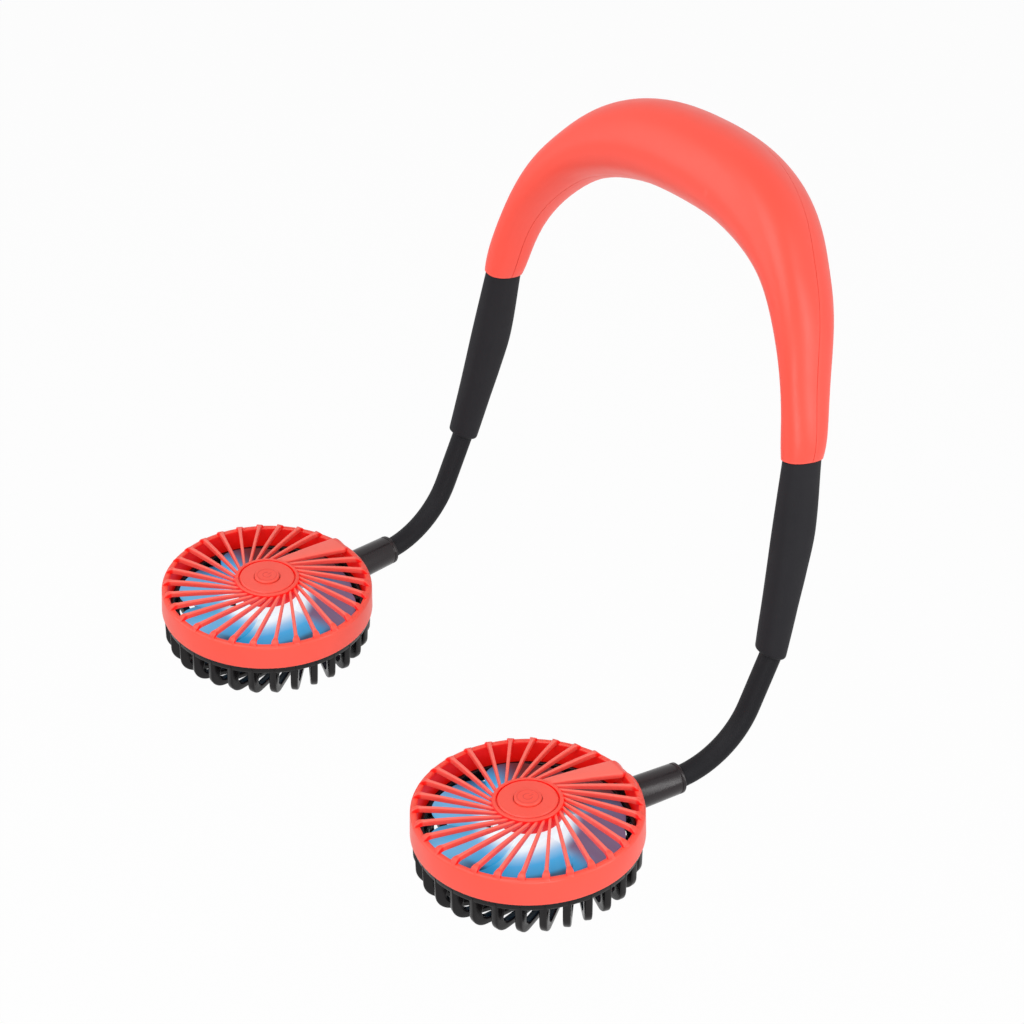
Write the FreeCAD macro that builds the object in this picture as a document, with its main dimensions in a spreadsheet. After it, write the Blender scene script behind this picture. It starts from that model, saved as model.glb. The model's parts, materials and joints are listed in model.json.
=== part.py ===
import FreeCAD
import Part

import math
import os
from types import SimpleNamespace

import Sketcher
from FreeCAD import Matrix, Placement, Rotation, Vector

# Electric neck fan: a hollow band worn round the neck, two bendable arms and two caged fans.
# Lengths are millimetres and angles are degrees. The origin is midway between the two ends of
# the band. +X is the wearer's left, +Y points to the nape and +Z is up.
# Each fan head has its own frame: the fan's axis is Z, with the blowing side up, the parting
# plane of the cage is at zero, and +Y runs along the collar towards the gooseneck.

SIZES = {
    # Neck band
    "band_half_width": 74.6,
    "band_rise": 62.9,
    "band_bend_radius": 165.0,
    "band_lean_angle": 8.0,
    "band_end_half_thickness": 4.6,
    "band_end_half_depth": 7.1,
    "band_apex_half_thickness": 13.7,
    "band_apex_half_depth": 16.0,
    "band_wall": 1.8,
    "seam_gap": 0.2,
    # Battery cells and their cradles in the band
    "cell_radius": 8.0,
    "cell_length": 34.0,
    "cell_forward_offset": 2.0,
    "cell_sink": 0.8,
    "cell_clearance": 0.3,
    "cradle_thickness": 1.6,
    "cradle_inset": 7.0,
    # Control board, its posts, the charging socket and the charge light
    "board_length": 40.0,
    "board_width": 13.0,
    "board_thickness": 1.2,
    "board_setback": 7.4,
    "post_radius": 2.2,
    "post_spacing": 31.0,
    "socket_width": 9.0,
    "socket_height": 3.2,
    "socket_rim": 0.35,
    "socket_depth": 5.0,
    "socket_tongue": 0.7,
    "socket_clearance": 0.2,
    "socket_recess": 0.3,
    "light_radius": 1.1,
    "light_offset": 9.5,
    "light_proud": 0.15,
    # Rubber sleeve between the band and the gooseneck
    "sleeve_length": 65.8,
    "sleeve_splay_angle": 5.6,
    "sleeve_lean_angle": 12.25,
    "sleeve_top_half_thickness": 4.3,
    "sleeve_top_half_depth": 6.5,
    "sleeve_swell_half_thickness": 5.1,
    "sleeve_swell_half_depth": 7.55,
    "sleeve_swell_setback": 1.4,
    "sleeve_foot_radius": 5.1,
    "sleeve_foot_round": 0.8,
    "sleeve_gap": 0.3,
    "spigot_length": 6.0,
    "spigot_clearance": 0.3,
    # Gooseneck
    "gooseneck_radius": 3.45,
    "gooseneck_bend_radius": 29.5,
    "gooseneck_bend_angle": 66.0,
    "gooseneck_straight": 17.1,
    "gooseneck_insert": 6.0,
    "gooseneck_clearance": 0.1,
    "link_count": 4,
    "link_gap": 1.5,
    "ball_radius": 2.3,
    "ball_clearance": 0.3,
    "neck_radius": 1.4,
    # Collar between the gooseneck and the fan head
    "collar_reach": 53.0,
    "collar_drop": 0.9,
    "collar_root_radius": 5.35,
    "collar_tip_radius": 5.0,
    "collar_chamfer": 0.3,
    "collar_mouth_depth": 2.6,
    "collar_mouth_radius": 4.4,
    "collar_flange_radius": 6.6,
    "collar_flange_thickness": 1.4,
    "collar_clearance": 0.1,
    # How the fan heads are turned
    "head_tilt_in_angle": 2.17,
    "head_tilt_back_angle": 1.17,
    "head_toe_out_angle": 6.05,
    # Front cage
    "rim_radius": 35.4,
    "rim_height": 10.4,
    "rim_draft": 0.3,
    "rim_wall": 2.7,
    "rim_top_radius": 32.9,
    "rim_shoulder_height": 3.4,
    "rim_shoulder_radius": 4.1,
    "dome_radius": 180.0,
    "spoke_count": 30,
    "spoke_width": 1.15,
    "spoke_depth": 2.2,
    "spoke_offset": 7.0,
    "spoke_start_angle": 86.0,
    "window_radius": 33.0,
    "rim_edge_height": 8.9,
    "rim_notch_radius": 31.0,
    "cage_inner_radius": 33.2,
    # Hub of the front cage
    "hub_radius": 10.8,
    "hub_top": 12.2,
    "hub_wall": 1.25,
    "hub_depth": 5.0,
    "hub_floor": 1.0,
    "hub_ledge_height": 2.7,
    "hub_ledge_width": 1.2,
    # Bosses that clamp the collar
    "boss_radius": 7.4,
    "boss_reach": 37.2,
    "boss_seat": 32.5,
    # Hub cap, power button and what lies under them
    "cap_groove": 0.45,
    "cap_thickness": 1.4,
    "cap_crown": 0.3,
    "button_radius": 4.2,
    "button_proud": 0.7,
    "button_edge": 0.3,
    "button_clearance": 0.25,
    "button_flange": 0.7,
    "button_flange_thickness": 0.55,
    "button_travel": 0.45,
    "switch_board_clearance": 0.2,
    "switch_board_thickness": 0.8,
    "switch_width": 4.2,
    "switch_height": 0.5,
    "plunger_radius": 0.9,
    "press_margin": 0.1,
    "led_count": 3,
    "led_radius": 1.25,
    "led_circle_radius": 6.4,
    "led_proud": 0.3,
    "led_clearance": 0.1,
    # Rear cage
    "rear_radius": 34.6,
    "rear_ring_height": 2.1,
    "rear_depth": 12.5,
    "rear_side_thickness": 4.4,
    "rear_back_thickness": 1.8,
    "rear_foot_radius": 34.2,
    "rear_corner_radius": 4.0,
    "rear_lip_height": 2.4,
    "rear_lip_radius": 32.3,
    "rear_lip_thickness": 1.2,
    "rear_bar_count": 30,
    "rear_bar_width": 2.0,
    "rear_bar_offset": 14.0,
    "rear_bar_start_angle": 0.0,
    "rear_hub_radius": 17.5,
    # Motor
    "motor_radius": 8.5,
    "motor_height": 10.1,
    "motor_boss_radius": 3.0,
    "motor_boss_height": 1.2,
    "motor_cup_wall": 1.2,
    "motor_cup_height": 3.0,
    "motor_cup_clearance": 0.1,
    "shaft_radius": 1.0,
    "shaft_foot": 1.6,
    "shaft_clearance": 0.06,
    "bush_radius": 2.2,
    "bush_height": 2.0,
    "screw_count": 2,
    "screw_circle_radius": 5.5,
    "screw_head_radius": 1.8,
    "screw_head_height": 1.0,
    "screw_shank_radius": 1.0,
    "screw_bite": 2.4,
    "screw_clearance": 0.1,
    # Impeller
    "impeller_radius": 29.0,
    "impeller_hub_radius": 10.6,
    "impeller_hub_wall": 1.2,
    "impeller_hub_top": 6.2,
    "impeller_hub_foot": 6.0,
    "impeller_hub_round": 2.0,
    "impeller_boss_radius": 2.6,
    "impeller_boss_foot": 1.2,
    "shaft_cover": 0.6,
    "blade_count": 6,
    "blade_sector_angle": 54.0,
    "blade_top": 4.4,
    "blade_foot": 5.4,
    "blade_thickness": 1.3,
    # Spare length of every cut
    "overrun": 2.0,
}

# Half of the band's centre line, from its end to its apex, as shares of half width and rise.
BAND_LINE_SHARES = ((1.0, 0.0), (0.897, 0.423), (0.717, 0.725), (0.562, 0.858), (0.344, 0.960), (0.0, 1.0))
# How the band's section grows from its end to its apex, in equal steps, and how square its corners are.
BAND_THICKNESS_SHARES = (0.0, 0.083, 0.415, 0.882, 1.0)
BAND_DEPTH_SHARES = (0.0, 0.263, 0.592, 0.915, 1.0)
BAND_SQUARENESS_SHARE = 2.37
BAND_STATIONS = 15
SECTION_STEPS = 8
# Where along the band its apex is, where along its half a battery cell lies, and where along the
# sleeve it is thickest and narrows.
APEX_SHARE = 0.5
CELL_PLACE_SHARE = 0.835
SLEEVE_SWELL_SHARE = 0.64
SLEEVE_WAIST_SHARE = 0.25
SLEEVE_WAIST_GROWTH_SHARE = 0.42
# Height of an impeller blade from its leading to its trailing edge, in equal steps of angle.
BLADE_HEIGHT_SHARES = (1.0, 0.86, 0.62, 0.32, 0.0)

FULL_TURN = 360.0
X_AXIS = Vector(1, 0, 0)
Y_AXIS = Vector(0, 1, 0)
Z_AXIS = Vector(0, 0, 1)

doc = FreeCAD.newDocument("NeckFan")
sheet = doc.addObject("Spreadsheet::Sheet", "Sizes")
for row, (alias, number) in enumerate(SIZES.items(), start=1):
    sheet.set(f"A{row}", alias)
    sheet.set(f"B{row}", str(number))
    sheet.setAlias(f"B{row}", alias)
doc.recompute()


class Size:
    """A length from the sheet, or a sum of such lengths, with the expression that binds it."""

    def __init__(self, text, value):
        self.text = text
        self.value = value

    def __add__(self, other):
        return Size(f"({self.text} + {other.text})", self.value + other.value)

    def __sub__(self, other):
        return Size(f"({self.text} - {other.text})", self.value - other.value)

    def __neg__(self):
        return Size(f"(0 - {self.text})", -self.value)

    def half(self):
        return Size(f"({self.text} / 2)", self.value / 2)

    def double(self):
        return Size(f"({self.text} * 2)", self.value * 2)

    def leg(self, other):
        """The second leg of a right triangle with this long side."""
        length = math.sqrt(self.value ** 2 - other.value ** 2)
        return Size(f"sqrt({self.text} * {self.text} - {other.text} * {other.text})", length)

    def times_cos(self, angle):
        return Size(f"({self.text} * cos({angle.text}))", self.value * math.cos(math.radians(angle.value)))

    def times_sin(self, angle):
        return Size(f"({self.text} * sin({angle.text}))", self.value * math.sin(math.radians(angle.value)))


ZERO = Size("0", 0.0)
d = SimpleNamespace(**{alias: Size(f"Sizes.{alias}", float(sheet.get(alias))) for alias in SIZES})
mm = SimpleNamespace(**{alias: float(sheet.get(alias)) for alias in SIZES})


def turned(point, angle):
    """A point of sizes, turned about the origin by an angle."""
    across, along = point
    return (
        across.times_cos(angle) - along.times_sin(angle),
        across.times_sin(angle) + along.times_cos(angle),
    )


def pitch(count):
    """The angle from one copy to the next of a full ring of copies."""
    return Size(f"(360 / {count.text})", FULL_TURN / count.value)


def new_body(label):
    body = doc.addObject("PartDesign::Body", label)
    body.Label = label
    return body


def new_sketch(body, name, role, lift=None):
    """An empty sketch on one of the body's own planes, lifted along the plane's normal."""
    sketch = body.newObject("Sketcher::SketchObject", name)
    plane = [feature for feature in body.Origin.OriginFeatures if feature.Role == role][0]
    sketch.AttachmentSupport = [(plane, "")]
    sketch.MapMode = "FlatFace"
    if lift is not None:
        sketch.setExpression("AttachmentOffset.Base.z", lift.text)
    return sketch


def bind(sketch, kind, numbers, size):
    """Adds one dimension to a sketch and ties it to the sheet."""
    index = sketch.addConstraint(Sketcher.Constraint(kind, *numbers, size.value))
    sketch.setExpression(f"Constraints[{index}]", size.text)


def place_point(sketch, geometry, end, point):
    """Fixes one end of a sketch line by its two coordinates."""
    for kind, size, axis in (("DistanceX", point[0], -2), ("DistanceY", point[1], -1)):
        if size is ZERO:
            sketch.addConstraint(Sketcher.Constraint("PointOnObject", geometry, end, axis))
        else:
            bind(sketch, kind, (geometry, end), size)


def side_of(first, last, bend):
    """A straight side, or an arc that turns left where bend is positive, right where negative."""
    start = Vector(first[0].value, first[1].value, 0)
    stop = Vector(last[0].value, last[1].value, 0)
    if bend is None:
        return Part.LineSegment(start, stop), 1, 2
    size, left = bend
    chord = stop - start
    rise = math.sqrt(size.value ** 2 - (chord.Length / 2) ** 2)
    across = Vector(-chord.y, chord.x, 0).normalize() * (rise if left else -rise)
    centre = (start + stop) / 2 + across
    circle = Part.Circle(centre, Z_AXIS, size.value)
    begin, end = (start, stop) if left else (stop, start)
    arc = Part.ArcOfCircle(circle, circle.parameter(begin), circle.parameter(end))
    return (arc, 1, 2) if left else (arc, 2, 1)


def draw(body, name, role, corners, bends=None, lift=None):
    """A closed outline whose corners, and the radii of its round sides, follow the sheet.

    bends gives, by the index of a side's first corner, its radius and whether it turns left.
    """
    sketch = new_sketch(body, name, role, lift)
    bends = bends or {}
    ends = []
    for index, corner in enumerate(corners):
        following = corners[(index + 1) % len(corners)]
        curve, first_end, last_end = side_of(corner, following, bends.get(index))
        ends.append((sketch.addGeometry(curve), first_end, last_end))
    for index, (geometry, _, last_end) in enumerate(ends):
        following, following_end, _ = ends[(index + 1) % len(ends)]
        sketch.addConstraint(Sketcher.Constraint("Coincident", geometry, last_end, following, following_end))
    for (geometry, first_end, _), corner in zip(ends, corners):
        place_point(sketch, geometry, first_end, corner)
    for index, (size, _) in bends.items():
        bind(sketch, "Radius", (ends[index][0],), size)
    return sketch


def draw_circle(body, name, role, centre, radius, lift=None):
    sketch = new_sketch(body, name, role, lift)
    middle = Vector(centre[0].value, centre[1].value, 0)
    geometry = sketch.addGeometry(Part.Circle(middle, Z_AXIS, radius.value))
    place_point(sketch, geometry, 3, centre)
    bind(sketch, "Radius", (geometry,), radius)
    return sketch


def revolve(body, sketch, axis="V_Axis"):
    feature = body.newObject("PartDesign::Revolution", f"{sketch.Name}_turned")
    feature.Profile = sketch
    feature.ReferenceAxis = (sketch, [axis])
    feature.Angle = FULL_TURN
    return feature


def pad(body, sketch, length, backwards=False):
    feature = body.newObject("PartDesign::Pad", f"{sketch.Name}_raised")
    feature.Profile = sketch
    feature.setExpression("Length", length.text)
    feature.Reversed = backwards
    return feature


def pocket(body, sketch, length, backwards=False):
    feature = body.newObject("PartDesign::Pocket", f"{sketch.Name}_cut")
    feature.Profile = sketch
    feature.setExpression("Length", length.text)
    feature.Reversed = backwards
    return feature


def ring_of(body, feature, sketch, copies, angle):
    """Copies of a feature round the fan's axis, spread over an angle."""
    pattern = body.newObject("PartDesign::PolarPattern", f"{feature.Name}_ring")
    pattern.Originals = [feature]
    pattern.Axis = (sketch, ["N_Axis"])
    pattern.setExpression("Occurrences", copies.text)
    pattern.setExpression("Angle", angle.text)
    body.Tip = pattern
    return pattern


def turned_body(label, corners, bends=None):
    """A piece turned from one profile about the fan's axis."""
    body = new_body(label)
    revolve(body, draw(body, f"{label}_profile", "XZ_Plane", corners, bends))
    return body


def slanted_window(inner, outer, offset, width, count, start):
    """Corners of the gap between two straight bars that pass beside the axis at an offset."""
    low = offset + width.half()
    high = offset - width.half()
    step = pitch(count)
    corners = [
        (inner.leg(low), low),
        (outer.leg(low), low),
        turned((outer.leg(high), high), step),
        turned((inner.leg(high), high), step),
    ]
    return [turned(corner, start) for corner in corners]


# Heights in the fan head that more than one piece takes its place from
hub_foot = d.hub_top - d.hub_depth
hub_floor_top = hub_foot + d.hub_floor
ledge_top = hub_floor_top + d.hub_ledge_height
hub_pocket_radius = d.hub_radius - d.hub_wall
hub_ledge_radius = hub_pocket_radius - d.hub_ledge_width
cap_top = ledge_top + d.cap_thickness
spoke_foot = d.rim_height - d.spoke_depth
rear_floor = -(d.rear_depth - d.rear_back_thickness)
motor_top = rear_floor + d.motor_height
bush_top = motor_top + d.motor_boss_height
collar_bore_radius = d.collar_root_radius + d.collar_clearance
switch_board_top = hub_floor_top + d.switch_board_thickness
button_foot = ledge_top - d.button_flange_thickness - d.press_margin
cap_bore_radius = d.button_radius + d.button_clearance


def clamp_boss(body, name, front):
    """Half of the boss that holds the collar, with the collar's bore through the wall."""
    side = d.boss_radius.leg(d.collar_drop)
    low = d.boss_radius - d.collar_drop if front else -(d.boss_radius + d.collar_drop)
    corners = [(side, ZERO), (ZERO, low), (-side, ZERO)]
    bends = {0: (d.boss_radius, front), 1: (d.boss_radius, front)}
    outline = draw(body, f"{name}_boss", "XZ_Plane", corners, bends, -d.boss_reach)
    pad(body, outline, d.boss_reach - d.boss_seat)
    bore = draw_circle(body, f"{name}_bore", "XZ_Plane", (ZERO, -d.collar_drop), collar_bore_radius,
                       -(d.boss_reach + d.overrun))
    pocket(body, bore, d.boss_reach - d.impeller_radius + d.overrun, backwards=True)
    room = draw_circle(body, f"{name}_flange_room", "XZ_Plane", (ZERO, -d.collar_drop),
                       d.collar_flange_radius + d.collar_clearance, -d.boss_seat)
    pocket(body, room, d.collar_flange_thickness + d.overrun, backwards=True)


def make_front_grille():
    body = new_body("front_grille_left")
    corners = [
        (d.rim_radius, ZERO),
        (d.rim_radius - d.rim_draft, d.rim_height - d.rim_shoulder_height),
        (d.rim_top_radius, d.rim_height),
        (d.hub_radius, d.hub_top),
        (hub_pocket_radius, d.hub_top),
        (hub_pocket_radius, ledge_top),
        (hub_ledge_radius, ledge_top),
        (hub_ledge_radius, hub_floor_top),
        (ZERO, hub_floor_top),
        (ZERO, hub_foot),
        (d.hub_radius, hub_foot),
        (d.hub_radius, d.hub_top - d.spoke_depth),
        (d.cage_inner_radius, spoke_foot),
        (d.rim_radius - d.rim_wall, ZERO),
    ]
    bends = {1: (d.rim_shoulder_radius, True), 2: (d.dome_radius, True)}
    revolve(body, draw(body, "front_profile", "XZ_Plane", corners, bends))
    window = draw(
        body, "front_window", "XY_Plane",
        slanted_window(d.hub_radius, d.window_radius, d.spoke_offset, d.spoke_width, d.spoke_count,
                       d.spoke_start_angle),
        {1: (d.window_radius, True), 3: (d.hub_radius, False)}, spoke_foot - d.overrun)
    cut = pocket(body, window, d.spoke_depth + d.hub_top - d.rim_height + d.overrun.double(), backwards=True)
    step = pitch(d.spoke_count)
    copies = Size(f"({d.spoke_count.text} - 1)", d.spoke_count.value - 1)
    spread = Size(f"(360 - 2 * {step.text})", FULL_TURN - 2 * step.value)
    ring_of(body, cut, window, copies, spread)
    shoulder = d.rim_radius + d.overrun
    notch = draw(
        body, "front_notch", "XY_Plane",
        slanted_window(d.rim_notch_radius, shoulder, d.spoke_offset, d.spoke_width, d.spoke_count,
                       d.spoke_start_angle),
        {1: (shoulder, True), 3: (d.rim_notch_radius, False)}, d.rim_edge_height)
    dip = pocket(body, notch, d.hub_top - d.rim_edge_height + d.overrun, backwards=True)
    ring_of(body, dip, notch, copies, spread)
    clamp_boss(body, "front", True)
    hole = draw_circle(body, "front_led_hole", "XY_Plane", (d.led_circle_radius, ZERO),
                       d.led_radius + d.led_clearance, hub_foot - d.overrun)
    drill = pocket(body, hole, d.hub_floor + d.overrun, backwards=True)
    ring_of(body, drill, hole, d.led_count, Size("360", FULL_TURN))
    return body


def make_rear_grille():
    body = new_body("rear_grille_left")
    cup_radius = d.motor_radius + d.motor_cup_clearance
    cup_top = rear_floor + d.motor_cup_height
    ring_foot = -d.rear_ring_height
    corner_top = -(d.rear_depth - d.rear_corner_radius)
    lip_inner = d.rear_lip_radius - d.rear_lip_thickness
    inner_corner = d.rear_foot_radius - d.rear_corner_radius
    corners = [
        (d.rear_radius, ZERO),
        (d.rear_radius, ring_foot),
        (d.rear_foot_radius, corner_top),
        (inner_corner, -d.rear_depth),
        (ZERO, -d.rear_depth),
        (ZERO, rear_floor),
        (cup_radius, rear_floor),
        (cup_radius, cup_top),
        (cup_radius + d.motor_cup_wall, cup_top),
        (cup_radius + d.motor_cup_wall, rear_floor),
        (inner_corner, rear_floor),
        (d.rear_foot_radius - d.rear_side_thickness, corner_top),
        (lip_inner, ring_foot),
        (lip_inner, d.rear_lip_height),
        (d.rear_lip_radius, d.rear_lip_height),
        (d.rear_lip_radius, ZERO),
    ]
    bends = {2: (d.rear_corner_radius, False), 10: (d.rear_corner_radius - d.rear_back_thickness, True)}
    revolve(body, draw(body, "rear_profile", "XZ_Plane", corners, bends))
    outer = d.rear_radius + d.overrun
    window = draw(
        body, "rear_window", "XY_Plane",
        slanted_window(d.rear_hub_radius, outer, d.rear_bar_offset, d.rear_bar_width, d.rear_bar_count,
                       d.rear_bar_start_angle),
        {1: (outer, True), 3: (d.rear_hub_radius, False)}, ring_foot)
    cut = pocket(body, window, d.rear_depth)
    ring_of(body, cut, window, d.rear_bar_count, Size("360", FULL_TURN))
    clamp_boss(body, "rear", False)
    for name, radius, length in (
        ("shank", d.screw_shank_radius, d.rear_back_thickness + d.overrun.double()),
        ("head", d.screw_head_radius, d.screw_head_height + d.overrun),
    ):
        hole = draw_circle(body, f"rear_{name}_hole", "XY_Plane", (d.screw_circle_radius, ZERO),
                           radius + d.screw_clearance, -(d.rear_depth + d.overrun))
        drill = pocket(body, hole, length, backwards=True)
        ring_of(body, drill, hole, d.screw_count, Size("360", FULL_TURN))
    return body


def make_hub_cap():
    edge = hub_pocket_radius - d.cap_groove
    corners = [
        (cap_bore_radius, ledge_top),
        (edge, ledge_top),
        (edge, cap_top - d.cap_crown),
        (edge - d.cap_crown, cap_top),
        (cap_bore_radius, cap_top),
    ]
    return turned_body("hub_cap_left", corners)


def make_power_button():
    top = cap_top + d.button_proud
    flange_top = button_foot + d.button_flange_thickness
    flange_edge = d.button_radius + d.button_flange
    corners = [
        (ZERO, button_foot),
        (flange_edge, button_foot),
        (flange_edge, flange_top),
        (d.button_radius, flange_top),
        (d.button_radius, top - d.button_edge),
        (d.button_radius - d.button_edge, top),
        (ZERO, top),
    ]
    return turned_body("power_button_left", corners)


def make_switch_board():
    edge = hub_ledge_radius - d.switch_board_clearance
    corners = [
        (ZERO, hub_floor_top),
        (edge, hub_floor_top),
        (edge, switch_board_top),
        (ZERO, switch_board_top),
    ]
    return turned_body("switch_board_left", corners)


def make_button_switch():
    """A low switch under the button, whose plunger stops short of the pressed button."""
    case = doc.addObject("Part::Box", "switch_case")
    for side in ("Length", "Width"):
        case.setExpression(side, d.switch_width.text)
    case.setExpression("Height", d.switch_height.text)
    for axis in ("x", "y"):
        case.setExpression(f"Placement.Base.{axis}", (-d.switch_width.half()).text)
    case.setExpression("Placement.Base.z", switch_board_top.text)
    plunger = doc.addObject("Part::Cylinder", "switch_plunger")
    plunger.setExpression("Radius", d.plunger_radius.text)
    plunger_top = button_foot - d.button_travel - d.press_margin
    plunger.setExpression("Height", (plunger_top - switch_board_top).text)
    plunger.setExpression("Placement.Base.z", switch_board_top.text)
    switch = doc.addObject("Part::Fuse", "button_switch_left")
    switch.Base = case
    switch.Tool = plunger
    return switch


def make_hub_leds():
    """Light-emitting diodes under the switch board, shining through the hub's floor."""
    lamps = []
    for index in range(int(mm.led_count)):
        lamp = doc.addObject("Part::Cylinder", f"led_{index + 1}")
        angle = pitch(d.led_count)
        turn = Size(f"({angle.text} * {index})", angle.value * index)
        lamp.setExpression("Radius", d.led_radius.text)
        lamp.setExpression("Height", (d.hub_floor + d.led_proud).text)
        lamp.setExpression("Placement.Base.x", d.led_circle_radius.times_cos(turn).text)
        lamp.setExpression("Placement.Base.y", d.led_circle_radius.times_sin(turn).text)
        lamp.setExpression("Placement.Base.z", (hub_foot - d.led_proud).text)
        lamps.append(lamp)
    group = doc.addObject("Part::Compound", "hub_leds_left")
    group.Links = lamps
    return group


def make_motor_can():
    bore = d.shaft_radius + d.shaft_clearance
    well = rear_floor + d.shaft_foot - d.shaft_clearance
    body = turned_body("motor_can_left", [
        (ZERO, rear_floor),
        (d.motor_radius, rear_floor),
        (d.motor_radius, motor_top),
        (d.motor_boss_radius, motor_top),
        (d.motor_boss_radius, bush_top),
        (d.bush_radius, bush_top),
        (d.bush_radius, bush_top - d.bush_height),
        (bore, bush_top - d.bush_height),
        (bore, well),
        (ZERO, well),
    ])
    hole = draw_circle(body, "motor_screw_hole", "XY_Plane", (d.screw_circle_radius, ZERO),
                       d.screw_shank_radius + d.screw_clearance, rear_floor - d.overrun)
    drill = pocket(body, hole, d.screw_bite + d.screw_clearance + d.overrun, backwards=True)
    ring_of(body, drill, hole, d.screw_count, Size("360", FULL_TURN))
    return body


def make_motor_bush():
    bore = d.shaft_radius + d.shaft_clearance
    foot = bush_top - d.bush_height
    corners = [(bore, foot), (d.bush_radius, foot), (d.bush_radius, bush_top), (bore, bush_top)]
    return turned_body("motor_bush_left", corners)


shaft_top = d.impeller_hub_top - d.shaft_cover


def make_motor_shaft():
    foot = rear_floor + d.shaft_foot
    corners = [(ZERO, foot), (d.shaft_radius, foot), (d.shaft_radius, shaft_top), (ZERO, shaft_top)]
    return turned_body("motor_shaft_left", corners)


def make_motor_screws():
    """Screws that hold the motor to the rear cage from behind."""
    screws = []
    foot = -d.rear_depth
    for index in range(int(mm.screw_count)):
        angle = pitch(d.screw_count)
        turn = Size(f"({angle.text} * {index})", angle.value * index)
        pieces = []
        for name, radius, height in (
            ("head", d.screw_head_radius, d.screw_head_height),
            ("shank", d.screw_shank_radius, rear_floor + d.screw_bite - foot),
        ):
            piece = doc.addObject("Part::Cylinder", f"screw_{name}_{index + 1}")
            piece.setExpression("Radius", radius.text)
            piece.setExpression("Height", height.text)
            piece.setExpression("Placement.Base.x", d.screw_circle_radius.times_cos(turn).text)
            piece.setExpression("Placement.Base.y", d.screw_circle_radius.times_sin(turn).text)
            piece.setExpression("Placement.Base.z", foot.text)
            pieces.append(piece)
        screw = doc.addObject("Part::Fuse", f"screw_{index + 1}")
        screw.Base, screw.Tool = pieces
        screws.append(screw)
    group = doc.addObject("Part::Compound", "motor_screws_left")
    group.Links = screws
    return group


def blade(turn):
    """One twisted blade: a radial strip that drops as it sweeps round the hub."""
    wires = []
    steps = len(BLADE_HEIGHT_SHARES) - 1
    root = mm.impeller_hub_radius - mm.impeller_hub_wall / 2
    for step, share in enumerate(BLADE_HEIGHT_SHARES):
        middle = -mm.blade_foot + share * (mm.blade_top + mm.blade_foot)
        low = middle - mm.blade_thickness / 2
        high = middle + mm.blade_thickness / 2
        strip = Part.makePolygon([
            Vector(root, 0, low),
            Vector(mm.impeller_radius, 0, low),
            Vector(mm.impeller_radius, 0, high),
            Vector(root, 0, high),
            Vector(root, 0, low),
        ])
        strip.rotate(Vector(), Z_AXIS, turn - step * mm.blade_sector_angle / steps)
        wires.append(strip)
    return Part.makeLoft(wires, True, False)


def make_impeller():
    """A cup-shaped hub over the motor with a ring of broad twisted blades."""
    inner = d.impeller_hub_radius - d.impeller_hub_wall
    ceiling = d.impeller_hub_top - d.impeller_hub_wall
    hub = turned_body("impeller_hub", [
        (d.shaft_radius, d.impeller_boss_foot),
        (d.impeller_boss_radius, d.impeller_boss_foot),
        (d.impeller_boss_radius, ceiling),
        (inner, ceiling),
        (inner, -d.impeller_hub_foot),
        (d.impeller_hub_radius, -d.impeller_hub_foot),
        (d.impeller_hub_radius, d.impeller_hub_top - d.impeller_hub_round),
        (d.impeller_hub_radius - d.impeller_hub_round, d.impeller_hub_top),
        (ZERO, d.impeller_hub_top),
        (ZERO, shaft_top),
        (d.shaft_radius, shaft_top),
    ], {6: (d.impeller_hub_round, True)})
    blades = []
    for index in range(int(mm.blade_count)):
        feature = doc.addObject("Part::Feature", f"impeller_blade_{index + 1}")
        feature.Shape = blade(index * FULL_TURN / mm.blade_count)
        blades.append(feature)
    impeller = doc.addObject("Part::MultiFuse", "impeller_left")
    impeller.Shapes = [hub] + blades
    return impeller


def arc_point(angle):
    """A point of the gooseneck's centre line in the head's frame, and the line's direction there."""
    turn = math.radians(angle)
    point = Vector(
        0,
        mm.collar_reach + mm.gooseneck_bend_radius * math.sin(turn),
        -mm.collar_drop + mm.gooseneck_bend_radius * (1 - math.cos(turn)),
    )
    return point, Vector(0, math.cos(turn), math.sin(turn))


def ball_on_neck(angle):
    """The ball at a joint of the gooseneck and the neck that carries it."""
    pivot, along = arc_point(angle)
    length = mm.link_gap + mm.ball_radius
    neck = Part.makeCylinder(mm.neck_radius, length, pivot - along * length, along)
    return Part.makeSphere(mm.ball_radius, pivot).fuse(neck)


def socket_at(angle):
    """The round hollow that a ball of the gooseneck turns in."""
    return Part.makeSphere(mm.ball_radius + mm.ball_clearance, arc_point(angle)[0])


link_angle = mm.gooseneck_bend_angle / mm.link_count
gap_angle = math.degrees(mm.link_gap / mm.gooseneck_bend_radius)
bend_centre = Vector(0, mm.collar_reach, mm.gooseneck_bend_radius - mm.collar_drop)


def make_gooseneck_link(number):
    """A bent length of the gooseneck, with a socket towards the fan and a ball towards the band."""
    start = (number - 1) * link_angle
    stop = number * link_angle
    point, along = arc_point(start)
    disc = Part.Face(Part.Wire(Part.makeCircle(mm.gooseneck_radius, point, along)))
    tube = disc.revolve(bend_centre, X_AXIS, link_angle - gap_angle)
    feature = doc.addObject("Part::Feature", f"gooseneck_link_{number}_left")
    feature.Shape = tube.fuse(ball_on_neck(stop)).cut(socket_at(start)).removeSplitter()
    return feature


def make_gooseneck_root():
    """The straight end of the gooseneck, half of it held inside the sleeve."""
    point, along = arc_point(mm.gooseneck_bend_angle)
    length = mm.gooseneck_straight + mm.gooseneck_insert
    tube = Part.makeCylinder(mm.gooseneck_radius, length, point, along)
    feature = doc.addObject("Part::Feature", "gooseneck_root_left")
    feature.Shape = tube.cut(socket_at(mm.gooseneck_bend_angle))
    return feature


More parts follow.
